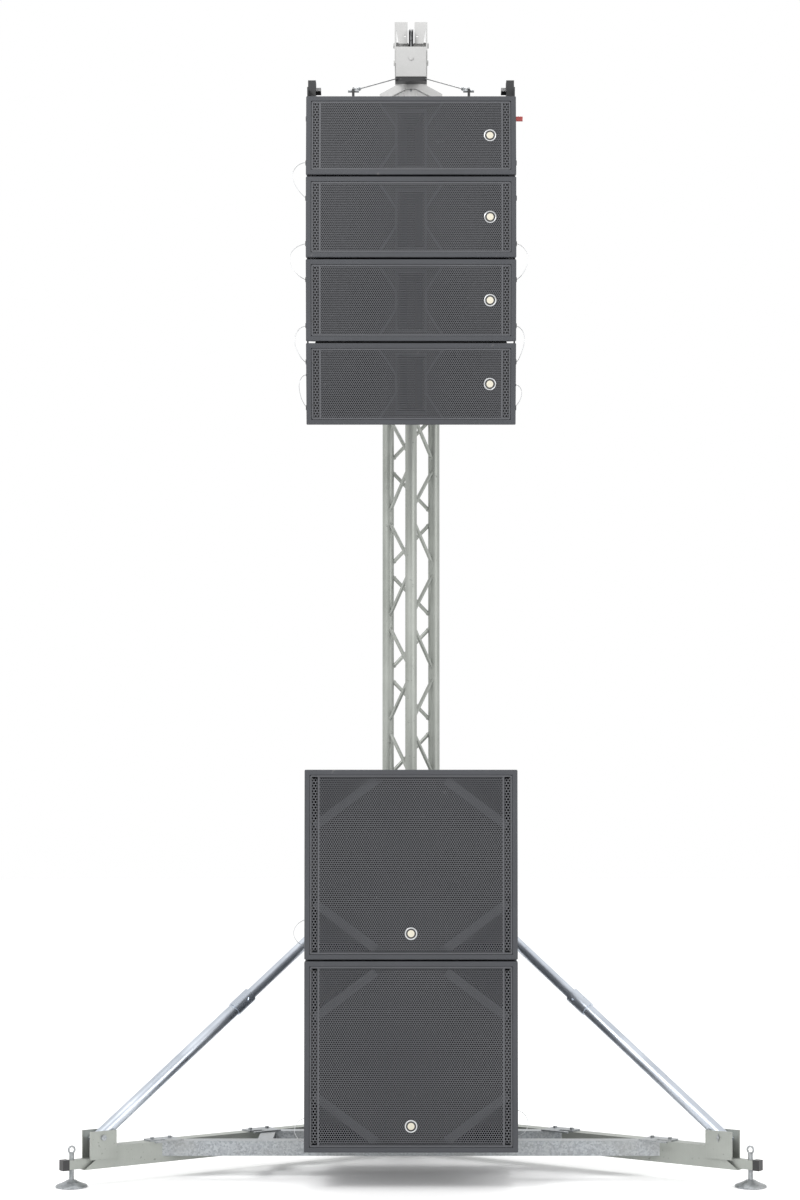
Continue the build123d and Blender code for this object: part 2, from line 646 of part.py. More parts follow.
def winch_frame():
    """Side plates on a back plate that is clamped to the two rear chords, and the gear case."""
    back_y = RIGHT_CHORD[1] + CHORD_R + FREE
    x = DRUM_LENGTH / 2 + 3
    z0, z1 = WINCH_Z - 75, PINION_Z + 35
    inner = x + WINCH_PLATE_T
    back = block(-RIGHT_CHORD[0] - 30, RIGHT_CHORD[0] + 30, back_y, back_y + WINCH_PLATE_T, z0, z1)
    window = block(-x + 5, x - 5, 0, back_y + 20, WINCH_Z - 66, WINCH_Z + 66)
    slot = hull_case(inner - FREE, inner + 24 + FREE, PINION_R + 8 + FREE, WHEEL_R + 5 + FREE)
    cheek = block(x, x + WINCH_PLATE_T, back_y, DRUM_Y + 40, z0, z1)
    tie = cross_pin(-x - 1, x + 1, DRUM_Y + 25, z1 - 15, 12)
    body = fused([back - window - slot, tie] + mirrored(cheek))
    bore = SHAFT_D + 2 * RUNNING
    cuts = [cross_pin(-100, 100, DRUM_Y, z, bore) for z in (WINCH_Z, PINION_Z)]
    body = body.cut(*cuts)
    case = hull_case(inner, inner + 24, PINION_R + 8, WHEEL_R + 5)
    case = case - hull_case(inner, inner + 21, PINION_R + 5, WHEEL_R + 2)
    return [body, case.cut(*cuts)]


def hull_case(x0, x1, small_r, large_r):
    """Gear case shape: two round ends joined by a straight-sided middle."""
    large = cross_pin(x0, x1, DRUM_Y, WINCH_Z, 2 * large_r)
    small = cross_pin(x0, x1, DRUM_Y, PINION_Z, 2 * small_r)
    sides = [(DRUM_Y - large_r, WINCH_Z), (DRUM_Y + large_r, WINCH_Z),
             (DRUM_Y + small_r, PINION_Z), (DRUM_Y - small_r, PINION_Z)]
    return fused([large, small, prism_x(sides, x0, x1)])


def winch_drum():
    """Rope drum with flanges, on its shaft, with the large wheel inside the gear case."""
    half = DRUM_LENGTH / 2
    core = cross_pin(-half, half, DRUM_Y, WINCH_Z, 2 * DRUM_CORE_R - FREE)
    flanges = [cross_pin(half - 4, half, DRUM_Y, WINCH_Z, 2 * DRUM_FLANGE_R),
               cross_pin(-half, -half + 4, DRUM_Y, WINCH_Z, 2 * DRUM_FLANGE_R)]
    shaft = cross_pin(-half - 16, CASE_X + 16, DRUM_Y, WINCH_Z, SHAFT_D)
    wheel = cross_pin(CASE_X, CASE_X + 12, DRUM_Y, WINCH_Z, 2 * WHEEL_R)
    return fused([core, shaft, wheel] + flanges)


def winch_crank():
    """Pinion shaft with the crank arm and its grip."""
    x = RIGHT_CHORD[0] + CHORD_R + 18
    shaft = cross_pin(-DRUM_LENGTH / 2 - 16, x + 12, DRUM_Y, PINION_Z, SHAFT_D)
    pinion = cross_pin(CASE_X, CASE_X + 12, DRUM_Y, PINION_Z, 2 * PINION_R)
    arm = block(x, x + 10, DRUM_Y - 14, DRUM_Y + 14, PINION_Z - CRANK_ARM, PINION_Z)
    arm_ends = [cross_pin(x, x + 10, DRUM_Y, PINION_Z, 36),
                cross_pin(x, x + 10, DRUM_Y, PINION_Z - CRANK_ARM, 28)]
    grip = cross_pin(x + 10, x + 120, DRUM_Y, PINION_Z - CRANK_ARM, 28)
    return [fused([shaft, pinion, arm] + arm_ends), grip]


def hoist_rope():
    """Rope from the drum up the back, over both sheaves, as straight runs and tangent arcs."""
    top = SHEAVE_Z + SHEAVE_PITCH_R
    route = [(0, ROPE_REAR_Y, WINCH_Z), (0, ROPE_REAR_Y, top), (0, ROPE_FRONT_Y, top),
             (0, ROPE_FRONT_Y, SHEAVE_Z)]
    path = FilletPolyline(*route, radius=[SHEAVE_PITCH_R, SHEAVE_PITCH_R - 0.01])
    section = Plane(origin=route[0], z_dir=(0, 0, 1)) * Circle(ROPE_D / 2)
    rope = sweep(section, path=path)
    print("hoist rope", round(path.length), "volume share",
          round(rope.volume / (path.length * math.pi * ROPE_D ** 2 / 4), 4))
    return rope


YOKE_TOP = HEAD_BEAM_Z - 2.0


def hoist_rope_front():
    """The rope's front fall, from the front sheave to the load yoke."""
    return rod((0, ROPE_FRONT_Y, YOKE_TOP), (0, ROPE_FRONT_Y, SHEAVE_Z), ROPE_D)


# ------------------------------------------------------------------ drivers and cabinet fittings
def driver(radius, depth):
    """Cone loudspeaker facing -Y, mounting face at Y 0: basket, cone with surround, magnet."""
    rim = radius - 22
    basket = [(rim, -6), (radius, -6), (radius, 0), (rim + 4, 0), (0.48 * radius, 0.62 * depth),
              (0.30 * radius, 0.62 * depth), (0.30 * radius, 0.62 * depth - 4),
              (0.46 * radius, 0.62 * depth - 4), (rim, 0)]
    roll = 12.0
    cone = [(rim - 1, -1), (rim - 1, -5), (rim - 1 - roll / 2, -11), (rim - 1 - roll, -5),
            (0.34 * radius, 0.40 * depth), (0.25 * radius, 0.34 * depth), (0, 0.26 * depth),
            (0, 0.26 * depth + 4), (0.25 * radius, 0.34 * depth + 4),
            (0.34 * radius, 0.40 * depth + 5), (rim - 2 - roll, -1)]
    magnet = [(0, 0.62 * depth), (0.42 * radius, 0.62 * depth), (0.42 * radius, depth),
              (0, depth)]
    solids = []
    for outline in (basket, cone, magnet):
        solids.append(Rot(90, 0, 0) * turned_z([(r, -z) for r, z in outline]))
    return solids


def connector_panel(x, y, z, width, height):
    """Plate on a cabinet's back at (x, y, z) with two round connectors and four screws."""
    plate = block(x - width / 2, x + width / 2, y, y + 3, z - height / 2, z + height / 2)
    pieces = []
    for side in (-1, 1):
        centre = x + side * width / 4
        plate = plate - rod((centre, y - 1, z), (centre, y + 4, z), 24)
        shell = rod((centre, y - 20, z), (centre, y + 6, z), 23)
        pieces.append(shell - rod((centre, y - 12, z), (centre, y + 7, z), 17))
        for edge in (-1, 1):
            sx, sz = x + side * (width / 2 - 9), z + edge * (height / 2 - 9)
            pieces.append(rod((sx, y + 3, sz), (sx, y + 6, sz), 9))
    return [plate] + pieces


def handle_pocket(x, y, z, clearance=0.0):
    """Envelope of a side handle's dish, let into the side wall at +X = x."""
    return block(x - 46 - clearance, x, y - 85 - clearance, y + 85 + clearance,
                 z - 45 - clearance, z + 45 + clearance)


def handle(x, y, z):
    """Recessed side handle: dish and bar."""
    dish = handle_pocket(x, y, z) - block(x - 42, x + 1, y - 81, y + 81, z - 41, z + 41)
    bar = rod((x - 11, y - 81, z), (x - 11, y + 81, z), 16)
    return mirrored(dish) + mirrored(bar)


def grille_screws(width, z_list, y):
    """Screw heads down both sides of a grille."""
    x = width / 2
    return [rod((side * x, y - 1.5, z), (side * x, y, z), 9) for side in (-1, 1) for z in z_list]


def badge(x, y, z):
    """Plain round badge on a grille."""
    return rod((x, y - 3, z), (x, y, z), BADGE_D)


# ------------------------------------------------------------------ subwoofers
def sub_place(index):
    """A subwoofer's place: its own frame has the front at Y 0 and the bottom at Z 0."""
    return Pos(0, SUB_FRONT_Y, SUB_Z[index])


PORT_X = 150.0
PORT_Z = 162.0
SUB_HANDLE = (0.62 * SUB_D, 0.55 * SUB_H)
SUB_PANEL = (190.0, 120.0)


def sub_port_corners():
    """Corner port outlines (X, Z) between the baffle's octagon and the cabinet's inner corner."""
    x, z = SUB_W / 2 - SUB_WALL - 12, SUB_H / 2 - SUB_WALL - 12
    return [(x, PORT_Z), (x, z), (PORT_X, z)]


def sub_cabinet():
    """Plywood cabinet with an octagonal baffle, four corner ports and handle openings."""
    half, wall, middle = SUB_W / 2, SUB_WALL, SUB_H / 2
    outer = block(-half, half, 0, SUB_D, 0, SUB_H)
    outer = fillet(outer.edges(), 5)
    lip = SUB_LIP
    recess = block(-half + lip, half - lip, -1, SUB_BAFFLE_Y, lip, SUB_H - lip)
    cavity = block(-half + wall, half - wall, SUB_BAFFLE_Y + wall, SUB_D - wall, wall,
                   SUB_H - wall)
    hole = rod((0, 0, middle), (0, SUB_BAFFLE_Y + wall + 1, middle), 2 * (SUB_WOOFER_R - CUTOUT_STEP))
    cuts = [recess, cavity, hole]
    walls = []
    for sx in (-1, 1):
        for sz in (-1, 1):
            corner = [(sx * x, middle + sz * z) for x, z in sub_port_corners()]
            port = Plane.XZ * make_face(Polyline(*corner, close=True))
            cuts.append(Pos(0, SUB_BAFFLE_Y + wall + 1, 0) * extrude(port, amount=wall + 2))
            (x0, z0), _, (x1, z1) = corner
            slope = math.hypot(x1 - x0, z1 - z0)
            nx, nz = -sx * abs(z1 - z0) / slope * 12, -sz * abs(x1 - x0) / slope * 12
            band = [(x0, z0), (x1, z1), (x1 + nx, z1 + nz), (x0 + nx, z0 + nz)]
            face = Plane.XZ * make_face(Polyline(*band, close=True))
            length = SUB_BAFFLE_Y - 14 + 250
            walls.append(Pos(0, 14 + length, 0) * extrude(face, amount=length))
    cuts += mirrored(handle_pocket(half, *SUB_HANDLE))
    width, height = SUB_PANEL
    cuts.append(block(-width / 2 + 14, width / 2 - 14, SUB_D - 2 * wall, SUB_D + 1,
                      middle - height / 2 + 14, middle + height / 2 - 14))
    return fused([outer.cut(*cuts)] + walls)


def sub_grille():
    """Front grille with its screws and a badge."""
    half = SUB_W / 2 - SUB_LIP - GRILLE_CLEARANCE
    y = GRILLE_INSET
    low, high = SUB_LIP + GRILLE_CLEARANCE, SUB_H - SUB_LIP - GRILLE_CLEARANCE
    plate = block(-half, half, y, y + GRILLE_T, low, high)
    span = high - low - 30
    levels = [low + 15 + span * step / 4 for step in range(5)]
    screws = grille_screws(2 * half - 16, levels, y)
    return [plate] + screws + [badge(0, y, 101.0)]


def sub_woofer():
    """Large cone driver bolted to the baffle."""
    return [Pos(0, SUB_BAFFLE_Y, SUB_H / 2) * piece for piece in driver(SUB_WOOFER_R, 190.0)]


def sub_fittings(index):
    """Handles, connector panel and, under the upper one, the feet that make the gap."""
    pieces = handle(SUB_W / 2, *SUB_HANDLE)
    pieces += connector_panel(0, SUB_D, SUB_H / 2, *SUB_PANEL)
    if index == 1:
        for x in (-SUB_W / 2 + 60, SUB_W / 2 - 60):
            for y in (70, SUB_D - 70):
                pieces.append(rod((x, y, -SUB_GAP), (x, y, 0), 46))
    return pieces


# ------------------------------------------------------------------ array cabinets
REAR_DROP = BOX_D * math.tan(math.radians(BOX_TAPER))
BOX_MIDDLE = -BOX_H / 2
BOX_PANEL = (170.0, 90.0)
HORN_DEPTH = 150.0


def box_outline(inset=0.0, front=0.0):
    """Side outline (Y, Z) of the tapered cabinet, drawn in by an inset."""
    slope = math.tan(math.radians(BOX_TAPER))
    rear = BOX_D - inset
    return [(front, -inset - front * slope), (front, -BOX_H + inset + front * slope),
            (rear, -BOX_H + inset + rear * slope), (rear, -inset - rear * slope)]


def box_cabinet(index):
    """Tapered plywood cabinet with its baffle openings, side channels and handle openings."""
    half, wall = BOX_W / 2, BOX_WALL
    outer = prism_x(box_outline(), -half, half)
    outer = fillet(outer.edges(), 4)
    back = BOX_BAFFLE_Y + 15
    cavity = prism_x(box_outline(wall, back), -half + wall, half - wall)
    lip = BOX_LIP
    recess = block(-half + lip, half - lip, -1, BOX_BAFFLE_Y, -BOX_H + lip + 4, -lip - 4)
    opening = block(-half + lip, half - lip, -1, GRILLE_INSET + GRILLE_T + 3, -BOX_H + lip, -lip)
    cuts = [cavity, recess, opening]
    for side in (-1, 1):
        x = side * BOX_WOOFER_X
        cuts.append(rod((x, 0, BOX_MIDDLE), (x, back + 1, BOX_MIDDLE), 2 * (BOX_WOOFER_R - CUTOUT_STEP)))
    cuts.append(block(-HORN_HALF + 8, HORN_HALF - 8, 0, back + 1, -BOX_H + 50, -50))
    channel = block(half - RECESS_DEPTH, half + 1, RECESS_Y - RECESS_WIDTH / 2,
                    RECESS_Y + RECESS_WIDTH / 2, -BOX_H - 1, 1)
    cuts += mirrored(channel)
    cuts += mirrored(handle_pocket(half, BOX_D * 0.55, BOX_MIDDLE))
    width, height = BOX_PANEL
    cuts.append(block(-width / 2 + 172, width / 2 + 148, BOX_D - 2 * wall, BOX_D + 1,
                      BOX_MIDDLE - height / 2 + 12, BOX_MIDDLE + height / 2 - 12))
    return in_box(outer.cut(*cuts), index)


def box_grille(index):
    """Front grille with its screws and a badge."""
    half = BOX_W / 2 - BOX_LIP - GRILLE_CLEARANCE
    edge = BOX_LIP + GRILLE_CLEARANCE
    y = GRILLE_INSET
    plate = block(-half, half, y, y + GRILLE_T, -BOX_H + edge, -edge)
    screws = grille_screws(2 * half - 16, [BOX_MIDDLE - 82, BOX_MIDDLE + 82], y)
    return [in_box(piece, index) for piece in [plate] + screws + [badge(312, y, BOX_MIDDLE)]]


def horn():
    """Centre waveguide: hourglass flange, flared side walls and the driver behind."""
    y0 = BOX_BAFFLE_Y
    z0, z1 = -BOX_H + 27, -27
    waist = HORN_HALF + 9
    left = [(-HORN_FLARE, z0), (-waist, BOX_MIDDLE - 30), (-waist, BOX_MIDDLE + 30),
            (-HORN_FLARE, z1)]
    outline = left + [(-x, z) for x, z in reversed(left)]
    face = Plane.XZ * make_face(Polyline(*outline, close=True))
    flange = Pos(0, y0 - 7, 0) * extrude(face, amount=5)
    mouth = block(-HORN_HALF, HORN_HALF, y0 - 20, y0, -BOX_H + 40, -40)
    flange = flange - mouth
    throat = 16.0
    inner = HORN_HALF - 8.3
    side = [(inner, y0 - 7), (inner, y0 + 12), (throat + 5, y0 + HORN_DEPTH),
            (throat, y0 + HORN_DEPTH), (inner - 7, y0 - 7)]
    walls = mirrored(prism_z(side, -BOX_H + 60, -60))
    cap = block(-46, 46, y0 + HORN_DEPTH, y0 + HORN_DEPTH + 8, -BOX_H + 60, -60)
    motor = rod((0, y0 + HORN_DEPTH + 8, BOX_MIDDLE), (0, y0 + HORN_DEPTH + 68, BOX_MIDDLE), 110)
    return [flange] + walls + [cap, motor]


def box_drivers(index):
    """Two cone drivers and the centre waveguide."""
    pieces = []
    for side in (-1, 1):
        for piece in driver(BOX_WOOFER_R, 110.0):
            pieces.append(Pos(side * BOX_WOOFER_X, BOX_BAFFLE_Y, BOX_MIDDLE) * piece)
    return [in_box(piece, index) for piece in pieces + horn()]


RAIL_IN = BOX_W / 2 - RECESS_DEPTH
RAIL_OUT = RAIL_IN + RAIL_T
LINK_IN = RAIL_OUT + FREE
LINK_OUT = LINK_IN + LINK_T
TOP_PIN_Z = -PIN_DROP
BOTTOM_PIN_Z = -BOX_H + PIN_RISE
LUG_Y = BOX_D + LUG_REACH
TOP_LUG_Z = -REAR_DROP - LUG_DROP
BOTTOM_LUG_Z = -BOX_H + REAR_DROP + LUG_DROP


def rig_pin(z, outer, diameter=RIG_PIN_D):
    """Rigging pin at +X: shank in the rail, and a head with room for a lanyard."""
    shank = cross_pin(RAIL_IN, outer, RECESS_Y, z, diameter)
    head = cross_pin(outer, outer + 6, RECESS_Y, z, diameter + 8)
    return shank + head


def box_rigging(index):
    """Side rails in their channels, pins, lower links, rear lugs with pins, and the strap."""
    pieces = []
    half_rail = RAIL_WIDTH / 2
    slope = math.tan(math.radians(BOX_TAPER)) * (RECESS_Y + half_rail)
    rail = block(RAIL_IN, RAIL_OUT, RECESS_Y - half_rail, RECESS_Y + half_rail,
                 -BOX_H + slope + 2, -slope - 2)
    hole_d = RIG_PIN_D + 2 * RUNNING
    for z in (TOP_PIN_Z, BOTTOM_PIN_Z):
        rail = rail - cross_pin(RAIL_IN - 1, RAIL_OUT + 1, RECESS_Y, z, hole_d)
    pieces += mirrored(rail)
    last = index == len(TILTS) - 1
    if index > 0:
        pieces += mirrored(rig_pin(TOP_PIN_Z, LINK_OUT + FREE))
    pieces += mirrored(rig_pin(BOTTOM_PIN_Z, LINK_OUT + FREE))
    if not last:
        half = LINK_WIDTH / 2
        step = BOX_H + BOX_GAP
        splay = math.radians(TILTS[index + 1] - TILTS[index])
        low_y = RECESS_Y * math.cos(splay) - TOP_PIN_Z * math.sin(splay)
        low_z = RECESS_Y * math.sin(splay) + TOP_PIN_Z * math.cos(splay) - step
        ends = [(RECESS_Y, BOTTOM_PIN_Z), (low_y, low_z)]
        bars = [cross_pin(LINK_IN, LINK_OUT, y, z, LINK_WIDTH) for y, z in ends]
        outline = [(RECESS_Y - half, BOTTOM_PIN_Z), (RECESS_Y + half, BOTTOM_PIN_Z),
                   (low_y + half, low_z), (low_y - half, low_z)]
        link = fused(bars + [prism_x(outline, LINK_IN, LINK_OUT)])
        for y, z in ends:
            link = link - cross_pin(LINK_IN - 1, LINK_OUT + 1, y, z, hole_d)
        pieces += mirrored(link)
    gap = STRAP_T / 2 + 1
    for z in (TOP_LUG_Z, BOTTOM_LUG_Z):
        flange = block(-48, 48, BOX_D, BOX_D + EAR_T, z - 26, z + 26)
        ear = block(gap, gap + EAR_T, BOX_D, LUG_Y + 16, z - 18, z + 18)
        lug = fused([flange] + mirrored(ear))
        ends = gap + EAR_T
        lug = lug - cross_pin(-ends - 1, ends + 1, LUG_Y, z, STRAP_PIN_D + 2 * RUNNING)
        pin = fused([cross_pin(-ends, ends, LUG_Y, z, STRAP_PIN_D),
                     cross_pin(ends, ends + 5, LUG_Y, z, STRAP_PIN_D + 6),
                     cross_pin(-ends - 5, -ends, LUG_Y, z, STRAP_PIN_D + 6)])
        pieces += [lug, pin]
    if not last:
        pieces.append(rear_strap())
    pieces += [Pos(160, 0, 0) * piece for piece in
               connector_panel(0, BOX_D, BOX_MIDDLE, *BOX_PANEL)]
    pieces += handle(BOX_W / 2, BOX_D * 0.55, BOX_MIDDLE)
    return [in_box(piece, index) for piece in pieces]


def rear_strap():
    """Rear strap on the lower lug, with the slot in which the next cabinet's pin moves."""
    half, thick = STRAP_WIDTH / 2, STRAP_T / 2
    middle = LUG_Y + 3
    top, bottom = BOTTOM_LUG_Z + 18, BOTTOM_LUG_Z - 196
    body = block(-thick, thick, middle - half, middle + half, bottom, top)
    hole = cross_pin(-thick - 1, thick + 1, LUG_Y, BOTTOM_LUG_Z, STRAP_PIN_D + 2 * RUNNING)
    slot = STRAP_PIN_D / 2 + 4
    upper, lower = BOTTOM_LUG_Z - 60, BOTTOM_LUG_Z - 180
    ends = [cross_pin(-thick - 1, thick + 1, middle, z, 2 * slot) for z in (upper, lower)]
    run = block(-thick - 1, thick + 1, middle - slot, middle + slot, lower, upper)
    return body.cut(hole, run, *ends)


# ------------------------------------------------------------------ flybar, guide and bridle
GUIDE_GAP = 3.0
FLYBAR_FRONT = NOSE_Y + 66.0
FLYBAR_REAR = NOSE_Y + 560.0


def flybar():
    """Two side rails with lugs and front links, three cross bars, pick plates, rear hanger."""
    half_w = FLYBAR_RAIL_W / 2
    z0, z1 = FLYBAR_Z, FLYBAR_Z + FLYBAR_RAIL_H
    inner = RAIL_X - half_w
    pin_y, pin_z = box_point(0, RECESS_Y, TOP_PIN_Z)
    rail = block(inner, RAIL_X + half_w, FLYBAR_FRONT, FLYBAR_REAR, z0, z1)
    lug = block(inner, RAIL_X + half_w, FLYBAR_FRONT + 20, FLYBAR_FRONT + 75, z1, LUG_TOP)
    lug = lug - cross_pin(inner - 1, RAIL_X + 50, FLYBAR_FRONT + 47, LUG_TOP - 20, 16)
    plate = block(LINK_IN, LINK_OUT, pin_y - 20, pin_y + 20, pin_z, z1)
    plate = fused([plate, cross_pin(LINK_IN, LINK_OUT, pin_y, pin_z, LINK_WIDTH)])
    bridge = block(RAIL_X + half_w - 1, LINK_OUT, FLYBAR_FRONT, pin_y + 20, z0 + 4, z1)
    hole = cross_pin(LINK_IN - 1, LINK_OUT + 1, pin_y, pin_z, RIG_PIN_D + 2 * RUNNING)
    side = fused([rail, lug, bridge, plate]) - hole
    gusset = Pos(inner - 20, 0, 0) * prism_x(
        [(FLYBAR_FRONT + 20, z1), (FLYBAR_FRONT + 75, z1), (FLYBAR_FRONT + 47, z1 + 22)], 0, 20)
    pieces = mirrored(side) + mirrored(gusset)
    pieces.append(block(-inner, inner, FLYBAR_FRONT, FLYBAR_FRONT + CROSS_BAR, z0, z0 + CROSS_BAR / 2))
    for y in (PICK_Y, FLYBAR_REAR - CROSS_BAR / 2):
        pieces.append(block(-inner, inner, y - CROSS_BAR / 2, y + CROSS_BAR / 2, z1 - CROSS_BAR, z1))
    for x in (-PICK_X, PICK_X):
        pick = block(x - 5, x + 5, PICK_Y - 11, PICK_Y + 11, z1, z1 + PICK_RISE)
        pick = pick + cross_pin(x - 5, x + 5, PICK_Y, z1 + PICK_RISE, 22)
        pieces.append(pick - cross_pin(x - 6, x + 6, PICK_Y, z1 + PICK_RISE, 10 + 2 * FREE))
    left_pin = mirror(cross_pin(RAIL_IN, LINK_OUT, pin_y, pin_z, RIG_PIN_D)
                      + cross_pin(LINK_OUT, LINK_OUT + 6, pin_y, pin_z, RIG_PIN_D + 8), Plane.YZ)
    pieces.append(left_pin)
    lug_y, lug_z = box_point(0, LUG_Y, TOP_LUG_Z)
    strap = block(-STRAP_T / 2, STRAP_T / 2, lug_y - 18, lug_y + 18, lug_z - 16, z1)
    strap = strap - cross_pin(-STRAP_T, STRAP_T, lug_y, lug_z, STRAP_PIN_D + 2 * RUNNING)
    arm_start = FLYBAR_REAR
    arm = block(-STRAP_T / 2, STRAP_T / 2, arm_start, lug_y, z1 - 30, z1)
    pieces.append(fused([strap, arm]))
    return pieces


def mast_guide():
    """Arm from the flybar to the mast, with a plastic fork that runs on the front chord."""
    z0, z1 = FLYBAR_Z + FLYBAR_RAIL_H - CROSS_BAR, FLYBAR_Z + FLYBAR_RAIL_H
    fork_front = -CIRCLE_R - CHORD_R - GUIDE_GAP - 12
    arms = mirrored(block(14, 34, FLYBAR_REAR, fork_front, z0, z1))
    half = CHORD_R + GUIDE_GAP
    fork = block(-half - 12, half + 12, fork_front, -CIRCLE_R + 5, z0 - 12, z1 + 12)
    slot = block(-half, half, fork_front + 12, 0, z0 - 13, z1 + 13)
    return arms + [fork - slot]


def release_pin():
    """Quick-release pin with a red grip, in the right-hand front link."""
    y, z = box_point(0, RECESS_Y, TOP_PIN_Z)
    shank = cross_pin(RAIL_IN + FREE, LINK_OUT + 1, y, z, RIG_PIN_D)
    grip = cross_pin(LINK_OUT + 1, LINK_OUT + 31, y, z, RIG_PIN_D + 8)
    return shank + grip


YOKE_EYE_Z = YOKE_TOP - YOKE_T / 2
EYE_X = YOKE_LENGTH / 2 - 6
YOKE_FRONT_Y = ROPE_FRONT_Y - YOKE_DEPTH / 2
BOSS = 4.0
SHACKLE_R = 14.0
SHACKLE_D = 8.0
SHACKLE_LEG = 18.0
RING_EYE_R = 11.0
RING_EYE_D = 7.0


def load_yoke():
    """Dark bar under the head beam that the hoist rope lifts, with a boss for each bridle rope."""
    half = YOKE_LENGTH / 2
    bar = block(-half, half, YOKE_FRONT_Y, YOKE_FRONT_Y + YOKE_DEPTH, YOKE_TOP - YOKE_T, YOKE_TOP)
    boss = rod((EYE_X, YOKE_FRONT_Y + 2, YOKE_EYE_Z), (EYE_X, YOKE_FRONT_Y - BOSS, YOKE_EYE_Z), 12)
    return fused([bar] + mirrored(boss))


def bridle_side():
    """The bridle at +X: rope start, centre of its lower ring, shackle centre and two directions."""
    pick = Vector(PICK_X, PICK_Y, FLYBAR_Z + FLYBAR_RAIL_H + PICK_RISE)
    start = Vector(EYE_X, YOKE_FRONT_Y - BOSS - 2, YOKE_EYE_Z)
    up = Vector(0, start.Y - pick.Y, start.Z - pick.Z).normalized()
    link = SHACKLE_LEG + SHACKLE_R - (SHACKLE_D + RING_EYE_D) / 2 - FREE
    ring = pick + up * (link + RING_EYE_R)
    return start, ring, pick, up


def bridle_ropes():
    """Two steel ropes that carry the flybar."""
    start, ring, _, _ = bridle_side()
    along = (start - ring).normalized()
    end = ring + along * (RING_EYE_R + RING_EYE_D / 2 + FREE)
    return mirrored(rod(tuple(start), tuple(end), BRIDLE_D))


def bridle_fittings():
    """Rope clips, thimble ring and shackle at the lower end of each rope."""
    start, ring, pick, up = bridle_side()
    along = (start - ring).normalized()
    foot = RING_EYE_R + RING_EYE_D / 2 + FREE
    rope_hole = rod(tuple(start), tuple(ring), BRIDLE_D + 2 * RUNNING)
    pieces = []
    for step in range(3):
        low = ring + along * (foot + 6 + 24 * step)
        clip = rod(tuple(low), tuple(low + along * 9), 15)
        pieces.append(clip - rope_hole)
    across = Vector(1, 0, 0)
    ring_plane = Plane(origin=ring, x_dir=up, z_dir=across)
    pieces.append(Solid.make_torus(RING_EYE_R, RING_EYE_D / 2, ring_plane))
    sides = [pick - across * SHACKLE_R, pick + across * SHACKLE_R]
    tops = [side + up * (SHACKLE_LEG + SHACKLE_R) for side in sides]
    corners = [tuple(corner) for corner in (sides[0], tops[0], tops[1], sides[1])]
    path = FilletPolyline(*corners, radius=[SHACKLE_R, SHACKLE_R - 0.01])
    bow = sweep(Plane(origin=sides[0], z_dir=up) * Circle(SHACKLE_D / 2), path=path)
    bolt = cross_pin(pick.X - SHACKLE_R - 9, pick.X + SHACKLE_R + 7, pick.Y, pick.Z, 10)
    pieces.append(fused([bow, bolt]))
    return pieces + [mirror(piece, Plane.YZ) for piece in pieces]


# ------------------------------------------------------------------ pin lanyards
def wire(points, radii):
    """Thin wire along straight runs and tangent arcs."""
    path = FilletPolyline(*points, radius=radii)
    start = Vector(*points[0])
    section = Plane(origin=start, z_dir=Vector(*points[1]) - start) * Circle(LANYARD_D / 2)
    body = sweep(section, path=path)
    share = body.volume / (path.length * math.pi * LANYARD_D ** 2 / 4)
    print("lanyard", round(path.length, 1), "radii", [round(r, 1) for r in radii],
          "volume share", round(share, 4))
    return body


def arc_radii(points):
    """Radius of each corner: 0.45 of the shorter run over the tangent of half the turn."""
    radii = []
    for before, corner, after in zip(points, points[1:], points[2:]):
        first = Vector(*corner) - Vector(*before)
        second = Vector(*after) - Vector(*corner)
        turn = math.radians(first.get_angle(second))
        radii.append(0.45 * min(first.length, second.length) / math.tan(turn / 2))
    return radii


# Each loop: points (X, Y, Z) about the mast's axis, from the upper fixing to the lower one.
ARRAY_LOOPS = {
    "box_1_lanyards": [
        [(-420.4, -970, 4041), (-437, -973, 4037), (-455, -981, 4022), (-467, -992, 4000),
         (-471, -1000, 3976), (-464, -1001, 3951), (-450, -994, 3929), (-435, -984, 3911),
         (-420.4, -973, 3900)],
    ],
    "box_2_lanyards": [
        [(-420.4, -975, 3714), (-440, -979, 3708), (-461, -988, 3693), (-476, -999, 3670),
         (-481, -1006, 3643), (-474, -1005, 3616), (-457, -993, 3594), (-438, -979, 3580),
         (-420.4, -964, 3574)],
        [(420.4, -975, 3714), (436, -980, 3707), (451, -990, 3690), (461, -1001, 3667),
         (463, -1007, 3640), (456, -1004, 3614), (443, -992, 3592), (431, -979, 3579),
         (420.4, -965, 3575)],
    ],
    "box_3_lanyards": [
        [(-420.4, -946, 3392), (-436, -953, 3386), (-450, -965, 3369), (-459, -977, 3345),
         (-461, -982, 3319), (-454, -978, 3294), (-442, -964, 3272), (-431, -945, 3258),
         (-420.4, -926, 3252)],
        [(420.4, -946, 3392), (433, -954, 3384), (444, -966, 3366), (449, -978, 3342),
         (448, -982, 3316), (441, -976, 3292), (434, -962, 3272), (427, -944, 3259),
         (420.4, -926, 3253)],
    ],
    "box_4_lanyards": [
        [(-420.4, -912, 3203), (-432, -918, 3197), (-441, -925, 3181), (-445, -928, 3160),
         (-444, -925, 3138), (-439, -917, 3116), (-431, -906, 3096), (-420.4, -892, 3081)],
        [(420.4, -905, 3164), (430, -911, 3159), (438, -917, 3146), (441, -919, 3129),
         (438, -914, 3111), (430, -904, 3095), (420.4, -892, 3084)],
    ],
}
